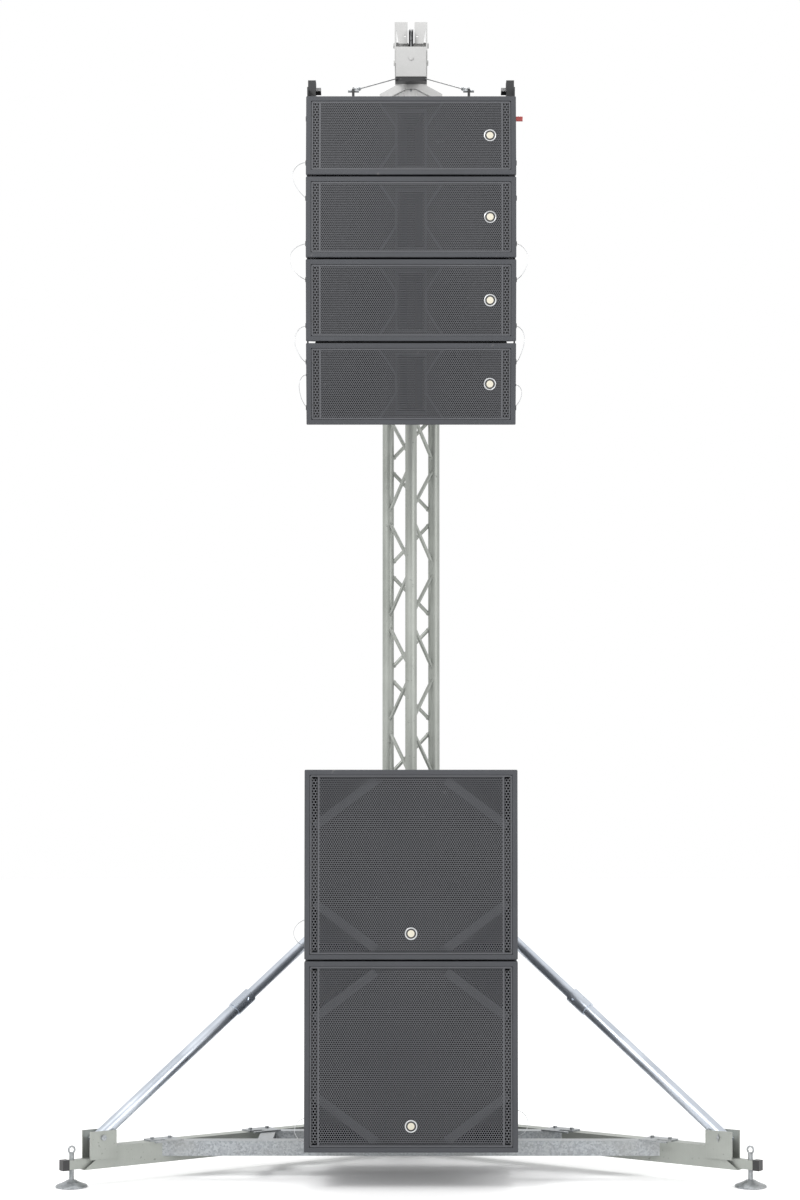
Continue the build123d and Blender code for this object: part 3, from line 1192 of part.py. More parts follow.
SUB_LOOPS = {
    "sub_lanyards": [
        [(-418, -960, 1044), (-433, -967, 1038), (-449, -975, 1025), (-459, -981, 1005),
         (-459, -982, 983), (-449, -978, 963), (-434, -970, 949), (-418, -960, 942)],
        [(-418, -960, 272), (-432, -968, 267), (-446, -977, 255), (-454, -983, 236),
         (-453, -984, 215), (-443, -979, 197), (-430, -970, 184), (-418, -960, 178)],
        [(418, -960, 303), (432, -968, 298), (447, -977, 286), (456, -984, 267),
         (456, -985, 245), (448, -980, 225), (434, -971, 211), (418, -960, 204)],
    ],
}


# The front of the rig that the loops' points were set out for.
LOOP_FRONT = -1039.42


def shifted(points):
    """The loops move with the front of the rig."""
    return [(x, y + SUB_FRONT_Y - LOOP_FRONT, z) for x, y, z in points]


def eyelet(point, wall_x):
    """Small round stud between a side wall and a lanyard's end."""
    x, y, z = shifted([point])[0]
    sign = math.copysign(1, x)
    return rod((sign * wall_x, y, z), (x - sign * (LANYARD_D / 2 + FREE), y, z), 8)


def box_eyelets():
    """Studs on the lowest cabinet's rails for the upper ends of its lanyards."""
    return [eyelet(points[0], RAIL_OUT) for points in ARRAY_LOOPS["box_4_lanyards"]]


def sub_eyelets():
    """Studs on the subwoofers' sides for both ends of their lanyards."""
    loops = SUB_LOOPS["sub_lanyards"]
    return [eyelet(point, SUB_W / 2) for points in loops for point in (points[0], points[-1])]


def lanyards(loops):
    """The wires of one cabinet."""
    wires = []
    for points in loops:
        wires.append(wire(shifted(points), arc_radii(points)))
    return wires


# ------------------------------------------------------------------ all nodes
save("base_hub", base_hub())
for side_name in LEG_ANGLES:
    save(f"leg_{side_name}", leg(side_name))
    save(f"jack_{side_name}", jack(side_name))
    save(f"brace_{side_name}", brace(side_name))
save("leg_end_caps", [leg_cap(side_name) for side_name in LEG_ANGLES])
save("base_fixings", [clevis_pin(side_name) for side_name in LEG_ANGLES] + beam_saddles())
save("cross_beams", [beam_cross(FRONT_BEAM_Y), beam_cross(REAR_BEAM_Y), beam_link()])
save("mast_lower", mast_section(MAST_FOOT_Z, JOINT_1))
save("mast_middle", mast_section(JOINT_1, JOINT_2))
save("mast_upper", mast_section(JOINT_2, MAST_TOP))
save("mast_couplers", mast_couplers())
save("brace_band", brace_band())
save("head_frame", head_frame())
save("head_beam", head_beam() + head_cheeks())
for sheave_name, sheave_y in zip(("front", "rear"), SHEAVE_YS):
    save(f"sheave_{sheave_name}", sheave(sheave_y))
save("winch_frame", winch_frame())
save("winch_drum", winch_drum())
save("winch_crank", winch_crank())
save("hoist_rope", hoist_rope())
save("hoist_rope_front", hoist_rope_front())
save("load_yoke", load_yoke())
save("bridle_ropes", bridle_ropes())
save("bridle_fittings", bridle_fittings())
save("flybar", flybar())
save("mast_guide", mast_guide())
save("release_pin", release_pin())
for number, _ in enumerate(TILTS):
    save(f"box_{number + 1}_cabinet", box_cabinet(number))
    save(f"box_{number + 1}_grille", box_grille(number))
    save(f"box_{number + 1}_drivers", box_drivers(number))
    rigging = box_rigging(number)
    if number == len(TILTS) - 1:
        rigging += box_eyelets()
    save(f"box_{number + 1}_rigging", rigging)
woofers, fittings = [], []
for number, sub_name in enumerate(("lower", "upper")):
    place = sub_place(number)
    save(f"sub_{sub_name}_cabinet", place * sub_cabinet())
    save(f"sub_{sub_name}_grille", [place * piece for piece in sub_grille()])
    woofers += [place * piece for piece in sub_woofer()]
    fittings += [place * piece for piece in sub_fittings(number)]
save("sub_woofers", woofers)
save("sub_fittings", fittings + sub_eyelets())
for loop_name, loops in (ARRAY_LOOPS | SUB_LOOPS).items():
    save(loop_name, lanyards(loops))
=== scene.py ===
import json
import math

import bpy
import numpy as np
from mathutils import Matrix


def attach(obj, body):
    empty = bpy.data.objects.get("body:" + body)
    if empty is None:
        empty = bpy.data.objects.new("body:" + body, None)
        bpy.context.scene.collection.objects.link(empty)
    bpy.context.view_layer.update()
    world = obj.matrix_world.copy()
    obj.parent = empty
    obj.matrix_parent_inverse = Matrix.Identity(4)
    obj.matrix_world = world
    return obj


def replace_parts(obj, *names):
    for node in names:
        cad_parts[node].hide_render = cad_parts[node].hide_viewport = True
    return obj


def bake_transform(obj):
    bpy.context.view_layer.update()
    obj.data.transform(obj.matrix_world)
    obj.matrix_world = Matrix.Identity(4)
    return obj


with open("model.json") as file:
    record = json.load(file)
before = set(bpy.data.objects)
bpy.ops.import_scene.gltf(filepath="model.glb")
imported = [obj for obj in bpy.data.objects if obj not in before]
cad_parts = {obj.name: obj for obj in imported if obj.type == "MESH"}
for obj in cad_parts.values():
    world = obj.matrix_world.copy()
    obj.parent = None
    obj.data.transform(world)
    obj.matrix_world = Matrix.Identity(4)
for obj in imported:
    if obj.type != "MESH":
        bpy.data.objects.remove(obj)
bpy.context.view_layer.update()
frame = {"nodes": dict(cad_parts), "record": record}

# Places in metres in the part's own frame. The mast's axis stands at Y = MAST_Y.
MAST_Y = -0.3230414
SUB_FRONT = -1.0394172 + MAST_Y
SUB_HIGH = 0.738
SUB_FEET = {"lower": 0.150, "upper": 0.894}
# Array cabinets and subwoofers are equally wide.
BOX_WIDE, BOX_HIGH = 0.830, 0.321
BOX_TAPER = math.radians(5.0)
# Top front edge (Y, Z) of each array cabinet from the mast's axis, and its lean in degrees.
BOX_EDGES = [(-1.007417, 4.297000, -4.0), (-1.030297, 3.969799, 1.0),
             (-1.024573, 3.641849, 6.0), (-0.990288, 3.315646, 11.0)]
# A cabinet's edge round its grille, the depth of the grille's face and the thickness of the
# perforated sheet laid on it.
EDGE = 0.021
GRILLE_FACE = 0.003
SHEET_FROM, SHEET_TO = GRILLE_FACE + 0.0004, GRILLE_FACE + 0.0018
FOAM_FROM, FOAM_TO = 0.0060, 0.0125
FOOT_REACH = 1.623
LEG_ANGLES = {"left": 215.0, "right": -35.0, "rear": 90.0}
ROPE_FRONT, ROPE_REAR = -0.182, 0.190
SHEAVE_PITCH, SHEAVE_Z, WINCH_Z, YOKE_TOP = 0.066, 4.790, 1.440, 4.625
ROPE_R, ROPE_LAY, ROPE_STEP = 0.004, 0.052, 0.0045
BRIDLE_R, BRIDLE_LAY = 0.0025, 0.034
DRUM_Y, TURN_R, TURN_PITCH, TURNS = 0.151, 0.039, 0.0085, 8.5
LANYARD_THICK = 0.0025
CHORD_APART, CHORD_R = 0.200, 0.025
# The mast's feet, joints and top, how far a section's level bars stand from its ends, and half
# of the zigzag's pitch.
MAST_LEVELS = (0.230, 1.390, 3.390, 4.550)
LEVEL_BAR, HALF_PITCH = 0.090, 0.229


# ---------------------------------------------------------------- camera
camera_data = bpy.data.cameras.new("camera")
camera_data.lens = 68.97
camera_data.sensor_width = 36.0
camera_data.shift_x = -0.0092
camera_data.shift_y = 0.082
camera_data.clip_end = 200.0
camera = bpy.data.objects.new("camera", camera_data)
camera.location = (0.0, -10.323, 1.55)
camera.rotation_euler = (math.radians(92.3), 0.0, 0.0)
bpy.context.collection.objects.link(camera)
bpy.context.scene.camera = camera


# ---------------------------------------------------------------- shader bench
def add(tree, kind, inputs=None, **settings):
    """One shader node. An input given as a socket is linked, a number is set on it."""
    node = tree.nodes.new(kind)
    for key, value in settings.items():
        setattr(node, key, value)
    for key, value in (inputs or {}).items():
        if isinstance(value, bpy.types.NodeSocket):
            tree.links.new(value, node.inputs[key])
        else:
            node.inputs[key].default_value = value
    return node


def spot(tree, stretch=(1, 1, 1)):
    """Place on the part in metres, squeezed by a stretch along each axis."""
    where = add(tree, "ShaderNodeTexCoord")
    return add(tree, "ShaderNodeMapping",
               {"Vector": where.outputs["Object"], "Scale": stretch}).outputs[0]


def cloud(tree, scale, detail=4.0, stretch=(1, 1, 1)):
    """Soft noise from 0 to 1, scale ripples to the metre."""
    return add(tree, "ShaderNodeTexNoise", {"Vector": spot(tree, stretch), "Scale": scale,
                                            "Detail": detail}).outputs["Fac"]


def span(tree, value, low, high, to_low=0.0, to_high=1.0):
    """Value carried from one span to another and held at its ends."""
    return add(tree, "ShaderNodeMapRange", {"Value": value, "From Min": low, "From Max": high,
                                            "To Min": to_low, "To Max": to_high}).outputs[0]


def maths(tree, operation, a, b=0.0):
    """One sum on one or two values."""
    return add(tree, "ShaderNodeMath", {0: a, 1: b}, operation=operation).outputs[0]


def mixed(tree, share, first, second):
    """First colour at share 0, second at share 1."""
    return add(tree, "ShaderNodeMix", {0: share, 6: first, 7: second},
               data_type="RGBA").outputs[2]


def rgba(colour):
    """Colour with full cover."""
    return (*colour, 1.0)


def raised(tree, height, depth, under=None):
    """Relief of a given depth in metres from a height of 0 to 1."""
    inputs = {"Height": height, "Distance": depth, "Strength": 1.0}
    if under is not None:
        inputs["Normal"] = under
    return add(tree, "ShaderNodeBump", inputs).outputs[0]


def new_finish(name, metal, coat=0.0, sheen=0.0):
    """An empty finish with its shader; returns the material, its tree and the shader."""
    material = bpy.data.materials.new(name)
    material.use_nodes = True
    tree = material.node_tree
    shader = tree.nodes["Principled BSDF"]
    shader.inputs["Metallic"].default_value = metal
    shader.inputs["Coat Weight"].default_value = coat
    shader.inputs["Sheen Weight"].default_value = sheen
    return material, tree, shader


def join(tree, shader, colour, rough, normal):
    """Colour, roughness and relief linked to a finish's shader."""
    tree.links.new(colour, shader.inputs["Base Color"])
    tree.links.new(rough, shader.inputs["Roughness"])
    tree.links.new(normal, shader.inputs["Normal"])


def drawn_metal(name, dark, light, rough, metal, stretch, depth=0.00004):
    """Extruded or drawn metal: die lines along its length, dull patches and a few dark marks."""
    material, tree, shader = new_finish(name, metal)
    lines = cloud(tree, 420.0, 3.0, stretch)
    patches = span(tree, cloud(tree, 5.0, 5.0), 0.35, 0.65)
    marks = span(tree, cloud(tree, 60.0, 6.0), 0.66, 0.74)
    share = maths(tree, "ADD", maths(tree, "MULTIPLY", patches, 0.7),
                  maths(tree, "MULTIPLY", lines, 0.3))
    colour = mixed(tree, share, rgba(dark), rgba(light))
    worn = mixed(tree, maths(tree, "MULTIPLY", marks, 0.45), colour,
                 rgba([0.4 * c for c in dark]))
    dull = maths(tree, "ADD", span(tree, patches, 0, 1, rough - 0.05, rough + 0.09),
                 maths(tree, "MULTIPLY", marks, 0.15))
    join(tree, shader, worn, dull, raised(tree, lines, depth))
    return material


def spangled_zinc(name, dark, light, rough):
    """Hot-dip zinc: crystal cells of slightly different grey over a lumpy skin."""
    material, tree, shader = new_finish(name, 0.75)
    cells = add(tree, "ShaderNodeTexVoronoi", {"Vector": spot(tree), "Scale": 140.0})
    grey = add(tree, "ShaderNodeSeparateColor", {0: cells.outputs["Color"]}).outputs[0]
    stain = span(tree, cloud(tree, 9.0, 6.0), 0.4, 0.7)
    colour = mixed(tree, grey, rgba(dark), rgba(light))
    stained = mixed(tree, maths(tree, "MULTIPLY", stain, 0.35), colour, (0.30, 0.30, 0.28, 1))
    dull = span(tree, grey, 0, 1, rough - 0.06, rough + 0.08)
    lumps = raised(tree, cloud(tree, 70.0, 3.0), 0.00025)
    join(tree, shader, stained, dull, raised(tree, grey, 0.00002, lumps))
    return material


def coated(name, base, lift, rough, grain, depth, coat=0.0, worn=(0.3, 0.3, 0.3), wear=0.3):
    """Paint or powder coat: an even orange-peel grain with its crests lightened as a painted
    highlight, faint dust and a few rubbed spots.
    """
    material, tree, shader = new_finish(name, 0.0, coat)
    peel = cloud(tree, grain, 2.0)
    dust = span(tree, cloud(tree, 4.0, 6.0), 0.3, 0.75)
    rubbed = span(tree, cloud(tree, 34.0, 8.0), 0.70, 0.76)
    colour = mixed(tree, dust, rgba(base), rgba([c + lift for c in base]))
    # Painted highlight: the raised crests of the orange-peel grain are mixed towards a lighter
    # colour.
    peel_crest_highlit = mixed(tree, maths(tree, "MULTIPLY", span(tree, peel, 0.35, 0.65), 0.22), colour,
                     rgba([c + 2 * lift for c in base]))
    scuffed = mixed(tree, maths(tree, "MULTIPLY", rubbed, wear), peel_crest_highlit, rgba(worn))
    dull = span(tree, dust, 0, 1, rough - 0.05, rough + 0.07)
    join(tree, shader, scuffed, dull, raised(tree, peel, depth))
    return material


def stucco_paint(name, base, rough):
    """Cabinet coating: rolled-on droplets about 2 mm apart over a finer grain, each droplet's crown
    lightened as a painted highlight.
    """
    material, tree, shader = new_finish(name, 0.0)
    drops = add(tree, "ShaderNodeTexVoronoi", {"Vector": spot(tree), "Scale": 520.0},
                feature="SMOOTH_F1").outputs["Distance"]
    fine = cloud(tree, 1400.0, 2.0)
    dust = span(tree, cloud(tree, 3.0, 6.0), 0.3, 0.8)
    rubbed = span(tree, cloud(tree, 24.0, 9.0), 0.71, 0.76)
    colour = mixed(tree, dust, rgba(base), rgba([1.35 * c for c in base]))
    # Painted highlight: the crown of each droplet is mixed towards a lighter colour.
    droplet_crown_highlit = mixed(tree, span(tree, drops, 0.1, 0.5, 0.35, 0.0), colour,
                   rgba([1.9 * c for c in base]))
    scuffed = mixed(tree, maths(tree, "MULTIPLY", rubbed, 0.35), droplet_crown_highlit, (0.19, 0.18, 0.17, 1))
    dull = span(tree, dust, 0, 1, rough - 0.04, rough + 0.08)
    relief = raised(tree, fine, 0.00005, raised(tree, span(tree, drops, 0.1, 0.6, 1, 0), 0.00035))
    join(tree, shader, scuffed, dull, relief)
    return material


def stranded(name, dark, light, rough):
    """Steel wire rope: valleys darkened by grease and by painted shade, light on the crowns, read
    from the height that the mesh carries.
    """
    material, tree, shader = new_finish(name, 0.85)
    crown = add(tree, "ShaderNodeAttribute", attribute_name="crown").outputs["Fac"]
    wires = cloud(tree, 900.0, 2.0, (1, 1, 0.25))
    # Painted shade with grease: the colour darkens from the strand crowns into the valleys between
    # them.
    share = maths(tree, "MULTIPLY", crown, span(tree, wires, 0.3, 0.7, 0.7, 1.0))
    colour = mixed(tree, share, rgba(dark), rgba(light))
    join(tree, shader, colour, span(tree, wires, 0.2, 0.8, rough - 0.05, rough + 0.1),
         raised(tree, wires, 0.0001))
    return material


def paper_cone(name, base, rough):
    """Pressed cone and its cast frame: fibres and a faint mottle."""
    material, tree, shader = new_finish(name, 0.0)
    fibres = cloud(tree, 700.0, 5.0, (1, 1, 0.4))
    mottle = span(tree, cloud(tree, 30.0, 5.0), 0.3, 0.7)
    colour = mixed(tree, mottle, rgba(base), rgba([1.7 * c for c in base]))
    join(tree, shader, colour, span(tree, fibres, 0, 1, rough - 0.1, rough + 0.1),
         raised(tree, fibres, 0.0002))
    return material


def open_foam(name, base):
    """Acoustic foam behind a grille: a skin of small open cells, darker in their hollows as painted
    shade.
    """
    material, tree, shader = new_finish(name, 0.0)
    cells = add(tree, "ShaderNodeTexVoronoi", {"Vector": spot(tree), "Scale": 700.0},
                feature="DISTANCE_TO_EDGE").outputs["Distance"]
    fade = span(tree, cloud(tree, 6.0, 4.0), 0.3, 0.7)
    wall = span(tree, cells, 0.02, 0.25, 1.0, 0.0)
    # Painted shade: each cell's hollow is darker than its walls, by a share that varies across the
    # sheet.
    colour = mixed(tree, maths(tree, "MULTIPLY", wall, span(tree, fade, 0, 1, 0.6, 1.0)),
                   rgba([0.4 * c for c in base]), rgba(base))
    join(tree, shader, colour, span(tree, fade, 0, 1, 0.88, 0.96), raised(tree, wall, 0.0006))
    return material


def turned_wheel(name, centre_y, centre_z, base, rough):
    """Machined wheel: fine rings about its axle, worn bright in bands."""
    material, tree, shader = new_finish(name, 0.9)
    where = add(tree, "ShaderNodeTexCoord").outputs["Object"]
    parts = add(tree, "ShaderNodeSeparateXYZ", {0: where})
    dy = maths(tree, "SUBTRACT", parts.outputs["Y"], centre_y)
    dz = maths(tree, "SUBTRACT", parts.outputs["Z"], centre_z)
    radius = maths(tree, "SQRT", maths(tree, "ADD", maths(tree, "MULTIPLY", dy, dy),
                                       maths(tree, "MULTIPLY", dz, dz)))
    rings = maths(tree, "SINE", maths(tree, "MULTIPLY", radius, 9000.0))
    grease = span(tree, cloud(tree, 40.0, 5.0), 0.35, 0.65)
    colour = mixed(tree, grease, rgba(base), rgba([2.2 * c for c in base]))
    join(tree, shader, colour, span(tree, grease, 0, 1, rough + 0.1, rough),
         raised(tree, span(tree, rings, -1, 1), 0.00002))
    return material


FINISHES = {
    "aluminium": drawn_metal("mill aluminium", (0.27, 0.285, 0.262), (0.37, 0.385, 0.36), 0.44,
                             0.6, (1, 1, 0.02)),
    "zinc_steel": spangled_zinc("galvanised steel", (0.25, 0.265, 0.275), (0.40, 0.42, 0.44), 0.44),
    "bright_tube": drawn_metal("satin bright tube", (0.46, 0.50, 0.56), (0.62, 0.66, 0.72), 0.30,
                               0.9, (1, 1, 0.05)),
    "head_paint": coated("light grey paint", (0.40, 0.40, 0.395), 0.06, 0.42, 260.0, 0.00010,
                         0.15, (0.36, 0.34, 0.31), 0.6),
    "rope_steel": stranded("rope wire", (0.05, 0.05, 0.05), (0.42, 0.43, 0.44), 0.42),
    "black_steel": coated("black powder coat", (0.012, 0.0125, 0.014), 0.010, 0.50, 520.0,
                          0.00018, 0.0, (0.20, 0.20, 0.20), 0.4),
    "cabinet_paint": stucco_paint("textured cabinet coating", (0.030, 0.032, 0.037), 0.58),
    "grille_paint": coated("grille powder coat", (0.062, 0.064, 0.071), 0.008, 0.50, 900.0,
                           0.00005, 0.0, (0.26, 0.26, 0.27), 0.2),
    "driver": paper_cone("cone paper", (0.010, 0.010, 0.011), 0.62),
    "lanyard_wire": drawn_metal("clear-coated wire", (0.50, 0.51, 0.52), (0.72, 0.73, 0.74),
                                0.34, 0.5, (1, 1, 1)),
    "red_grip": coated("red moulded grip", (0.36, 0.035, 0.030), 0.05, 0.48, 380.0, 0.00012, 0.1,
                       (0.55, 0.30, 0.27), 0.5),
    "black_plastic": coated("black moulding", (0.016, 0.016, 0.017), 0.010, 0.46, 700.0, 0.00006,
                            0.0, (0.10, 0.10, 0.10), 0.4),
    "sheave": turned_wheel("machined wheel", MAST_Y, SHEAVE_Z, (0.05, 0.05, 0.052), 0.34),
}
FOAM = open_foam("acoustic foam", (0.022, 0.022, 0.024))
BADGE_RING = drawn_metal("brushed badge ring", (0.45, 0.46, 0.47), (0.62, 0.63, 0.64), 0.30, 0.8,
                         (1, 1, 1))
BADGE_CREAM = coated("cream enamel", (0.50, 0.47, 0.38), 0.05, 0.30, 300.0, 0.00003, 0.4,
                     (0.60, 0.56, 0.48), 0.2)
SCREW_STEEL = coated("blackened screws", (0.030, 0.031, 0.033), 0.02, 0.36, 300.0, 0.00004, 0.1,
                     (0.30, 0.30, 0.30), 0.8)

for part in frame["record"]["subparts"]:
    node = frame["nodes"][part["node"]]
    if not node.material_slots:
        node.data.materials.append(None)
    for place in node.material_slots:
        place.material = FINISHES[part["material_slot"]]


# ---------------------------------------------------------------- surface bench
ALONG_X, ALONG_Z = np.array([1.0, 0.0, 0.0]), np.array([0.0, 0.0, 1.0])


def piece(name, points, faces, body, slot, finish=None, smooth=True):
    """A mesh piece from its points (n, 3) and faces, on a body and with a record's slot. One
    that is stretched between two bodies names no body here."""
    mesh = bpy.data.meshes.new(name)
    mesh.from_pydata(np.asarray(points, float).reshape(-1, 3), [], faces)
    mesh.update()
    mesh.polygons.foreach_set("use_smooth", np.full(len(mesh.polygons), smooth))
    mesh.materials.append(finish or FINISHES[slot])
    made = bpy.data.objects.new(name, mesh)
    bpy.context.collection.objects.link(made)
    if body is not None:
        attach(made, body)
    return made


def grid_faces(rows, columns, loop_rows=False, loop_columns=True, start=0):
    """Quads of a grid of points, row by row, closed on itself where it loops."""
    i, j = np.meshgrid(np.arange(rows - (not loop_rows)), np.arange(columns - (not loop_columns)),
                       indexing="ij")
    i, j = i.ravel(), j.ravel()
    i1, j1 = (i + 1) % rows, (j + 1) % columns
    return np.stack([i * columns + j, i * columns + j1, i1 * columns + j1, i1 * columns + j],
                    axis=1) + start


def capped(rows, sides):
    """Quads of a tube of rings, and a flat face across each end of it."""
    faces = grid_faces(rows, sides).tolist()
    faces.append(list(range(sides))[::-1])
    faces.append([(rows - 1) * sides + k for k in range(sides)])
    return faces


def round_angles(count):
    """Angles that share a full turn evenly, from 0."""
    return np.linspace(0, 2 * math.pi, count, endpoint=False)


def square_to(axis, guide, other):
    """Two unit normals to an axis, the first square to a guide too, or to another guide where
    the axis lies close to that one."""
    axis = np.asarray(axis, float) / np.linalg.norm(axis)
    first = np.cross(axis, guide if abs(axis @ guide) < 0.9 else other)
    first /= np.linalg.norm(first)
    return axis, first, np.cross(axis, first)


def normals_along(path):
    """Two unit normals at each point of an open path, the first leaning to one guide."""
    step = np.roll(path, -1, 0) - np.roll(path, 1, 0)
    step[0], step[-1] = path[1] - path[0], path[-1] - path[-2]
    along = step / np.linalg.norm(step, axis=1)[:, None]
    guide = ALONG_Z if abs(along[0] @ ALONG_X) > 0.9 else ALONG_X
    first = guide - along * (along @ guide)[:, None]
    first /= np.linalg.norm(first, axis=1)[:, None]
    return first, np.cross(along, first)


def swept(path, radius, sides, twist, lobes, dip):
    """Tube along a path: at angle a the radius is radius * (1 - dip * sin(lobes * a / 2) ** 2),
    and the whole section is turned by twist radians at each station."""
    first, second = normals_along(path)
    angle = round_angles(sides)
    size = radius * (1 - dip * np.sin(lobes * angle / 2) ** 2)
    turn = angle[None, :] + twist[:, None]
    points = (path[:, None, :] + first[:, None, :] * (np.cos(turn) * size)[:, :, None]
              + second[:, None, :] * (np.sin(turn) * size)[:, :, None])
    return points.reshape(-1, 3), capped(len(path), sides)


def gathered(parts):
    """Several (points, faces) meshes as one, each keeping its own points."""
    points, faces, count = [], [], 0
    for some, loops in parts:
        some = np.asarray(some, float).reshape(-1, 3)
        points.append(some)
        faces += [[k + count for k in loop] for loop in loops]
        count += len(some)
    return np.concatenate(points), faces


def turned(profile, centre, axis, sides=24):
    """Profile of (radius, height) pairs spun about an axis through a centre, with a flat face
    across each end of it."""
    axis, first, second = square_to(axis, ALONG_X, ALONG_Z)
    angle = round_angles(sides)
    spokes = np.cos(angle)[:, None] * first + np.sin(angle)[:, None] * second
    shape = np.asarray(profile, float)
    points = (np.asarray(centre, float) + shape[:, 0, None, None] * spokes[None]
              + shape[:, 1, None, None] * axis)
    return points.reshape(-1, 3), capped(len(shape), sides)


def ring(centre, first, second, radius, thick, around, sides):
    """Ring in the plane of two unit normals: at angle a round it and b round its section, the
    distance from its centre is radius + thick * cos b, and thick * sin b off the plane."""
    a, b = np.meshgrid(round_angles(around), round_angles(sides), indexing="ij")
    thick = thick(a) if callable(thick) else thick
    reach = radius + thick * np.cos(b)
    points = (np.asarray(centre) + (reach * np.cos(a))[..., None] * first
              + (reach * np.sin(a))[..., None] * second
              + (thick * np.sin(b))[..., None] * np.cross(first, second))
    return points.reshape(-1, 3), grid_faces(around, sides, loop_rows=True)[:, ::-1].tolist()


def in_box(points, index):
    """Cabinet points (x, depth, height below 0) moved to an array cabinet's leaning place."""
    y0, z0, lean = BOX_EDGES[index]
    c, s = math.cos(math.radians(lean)), math.sin(math.radians(lean))
    x, y, z = np.asarray(points, float).reshape(-1, 3).T
    return np.stack([x, y0 + MAST_Y + y * c - z * s, z0 + y * s + z * c], axis=1)


def in_sub(points, name):
    """Cabinet points (x, depth, height) moved to a subwoofer's place."""
    return np.asarray(points, float).reshape(-1, 3) + [0, SUB_FRONT, SUB_FEET[name]]


# ---------------------------------------------------------------- free cords: pin lanyards
# Node: its body, each wire's route as points (X, Y, Z) in millimetres about the mast's axis, as
# the part has them, and each wire's length in millimetres.
ROUTES = {
    "box_1_lanyards": ("array_top", [
        [(-420.4, -970, 4041), (-437, -973, 4037), (-455, -981, 4022), (-467, -992, 4000),
         (-471, -1000, 3976), (-464, -1001, 3951), (-450, -994, 3929), (-435, -984, 3911),
         (-420.4, -973, 3900)],
    ], [194.4]),
    "box_2_lanyards": ("box_2", [
        [(-420.4, -975, 3714), (-440, -979, 3708), (-461, -988, 3693), (-476, -999, 3670),
         (-481, -1006, 3643), (-474, -1005, 3616), (-457, -993, 3594), (-438, -979, 3580),
         (-420.4, -964, 3574)],
        [(420.4, -975, 3714), (436, -980, 3707), (451, -990, 3690), (461, -1001, 3667),
         (463, -1007, 3640), (456, -1004, 3614), (443, -992, 3592), (431, -979, 3579),
         (420.4, -965, 3575)],
    ], [214.7, 192.3]),
    "box_3_lanyards": ("box_3", [
        [(-420.4, -946, 3392), (-436, -953, 3386), (-450, -965, 3369), (-459, -977, 3345),
         (-461, -982, 3319), (-454, -978, 3294), (-442, -964, 3272), (-431, -945, 3258),
         (-420.4, -926, 3252)],
        [(420.4, -946, 3392), (433, -954, 3384), (444, -966, 3366), (449, -978, 3342),
         (448, -982, 3316), (441, -976, 3292), (434, -962, 3272), (427, -944, 3259),
         (420.4, -926, 3253)],
    ], [200.7, 188.5]),
    "box_4_lanyards": ("box_4", [
        [(-420.4, -912, 3203), (-432, -918, 3197), (-441, -925, 3181), (-445, -928, 3160),
         (-444, -925, 3138), (-439, -917, 3116), (-431, -906, 3096), (-420.4, -892, 3081)],
        [(420.4, -905, 3164), (430, -911, 3159), (438, -917, 3146), (441, -919, 3129),
         (438, -914, 3111), (430, -904, 3095), (420.4, -892, 3084)],
    ], [149.0, 104.3]),
    "sub_lanyards": ("base", [
        [(-418, -960, 1044), (-433, -967, 1038), (-449, -975, 1025), (-459, -981, 1005),
         (-459, -982, 983), (-449, -978, 963), (-434, -970, 949), (-418, -960, 942)],
        [(-418, -960, 272), (-432, -968, 267), (-446, -977, 255), (-454, -983, 236),
         (-453, -984, 215), (-443, -979, 197), (-430, -970, 184), (-418, -960, 178)],
        [(418, -960, 303), (432, -968, 298), (447, -977, 286), (456, -984, 267),
         (456, -985, 245), (448, -980, 225), (434, -971, 211), (418, -960, 204)],
    ], [149.7, 138.2, 146.6]),
}
for node_name, (body_name, routes, lengths) in ROUTES.items():
    for number, (route, length) in enumerate(zip(routes, lengths)):
        curve = bpy.data.curves.new(f"{node_name}_{number + 1}", "CURVE")
        curve.dimensions = "3D"
        curve.bevel_depth = LANYARD_THICK / 2
        curve.bevel_resolution = 2
        curve.resolution_u = 5
        curve.use_fill_caps = True
        line = curve.splines.new("NURBS")
        line.points.add(len(route) - 1)
        metres = [(x / 1000, y / 1000 + MAST_Y, z / 1000) for x, y, z in route]
        for point, place in zip(line.points, metres):
            point.co = (*place, 1.0)
        line.order_u = 3
        line.use_endpoint_u = True
        curve.materials.append(FINISHES["lanyard_wire"])
        wire = bpy.data.objects.new(f"{node_name}_{number + 1}", curve)
        bpy.context.collection.objects.link(wire)
        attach(wire, body_name)
        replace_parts(wire, node_name)


# ---------------------------------------------------------------- ropes
def crowned(made, sides, lobes, rows):
    """Stores on each point how high it stands on its strand: 1 on the crown, 0 in a valley."""
    height = 1 - np.sin(lobes * round_angles(sides) / 2) ** 2
    layer = made.data.attributes.new("crown", "FLOAT", "POINT")
    layer.data.foreach_set("value", np.tile(height, rows).astype(np.float32))


def laid_rope(name, paths, radius, body, pitch, sides=24):
    """Wire rope of six strands: a section of six lobes that makes one turn in each pitch of the
    path's length."""
    lobes = 6
    parts, rows = [], 0
    for path in paths:
        steps = np.linalg.norm(np.diff(path, axis=0), axis=1)
        reach = np.concatenate([[0], np.cumsum(steps)])
        parts.append(swept(path, radius, sides, 2 * math.pi * reach / pitch, lobes, 0.22))
        rows += len(path)
    made = piece(name, *gathered(parts), body, "rope_steel")
    crowned(made, sides, lobes, rows)
    return made


def straight(start, end, step=ROPE_STEP):
    """Points from a start to an end, about a step apart."""
    start, end = np.asarray(start, float), np.asarray(end, float)
    count = max(2, int(math.ceil(np.linalg.norm(end - start) / step)) + 1)
    return start + (end - start) * np.linspace(0, 1, count)[:, None]


def quarter(centre_y, angle_from):
    """Quarter turn in the plane X = 0 on a sheave's pitch circle, from an angle on, without its
    two end points."""
    count = int(SHEAVE_PITCH * math.pi / 2 / ROPE_STEP) + 2
    angle = np.linspace(angle_from, angle_from + math.pi / 2, count)[1:-1]
    return np.stack([0 * angle, centre_y + SHEAVE_PITCH * np.cos(angle),
                     SHEAVE_Z + SHEAVE_PITCH * np.sin(angle)], axis=1)


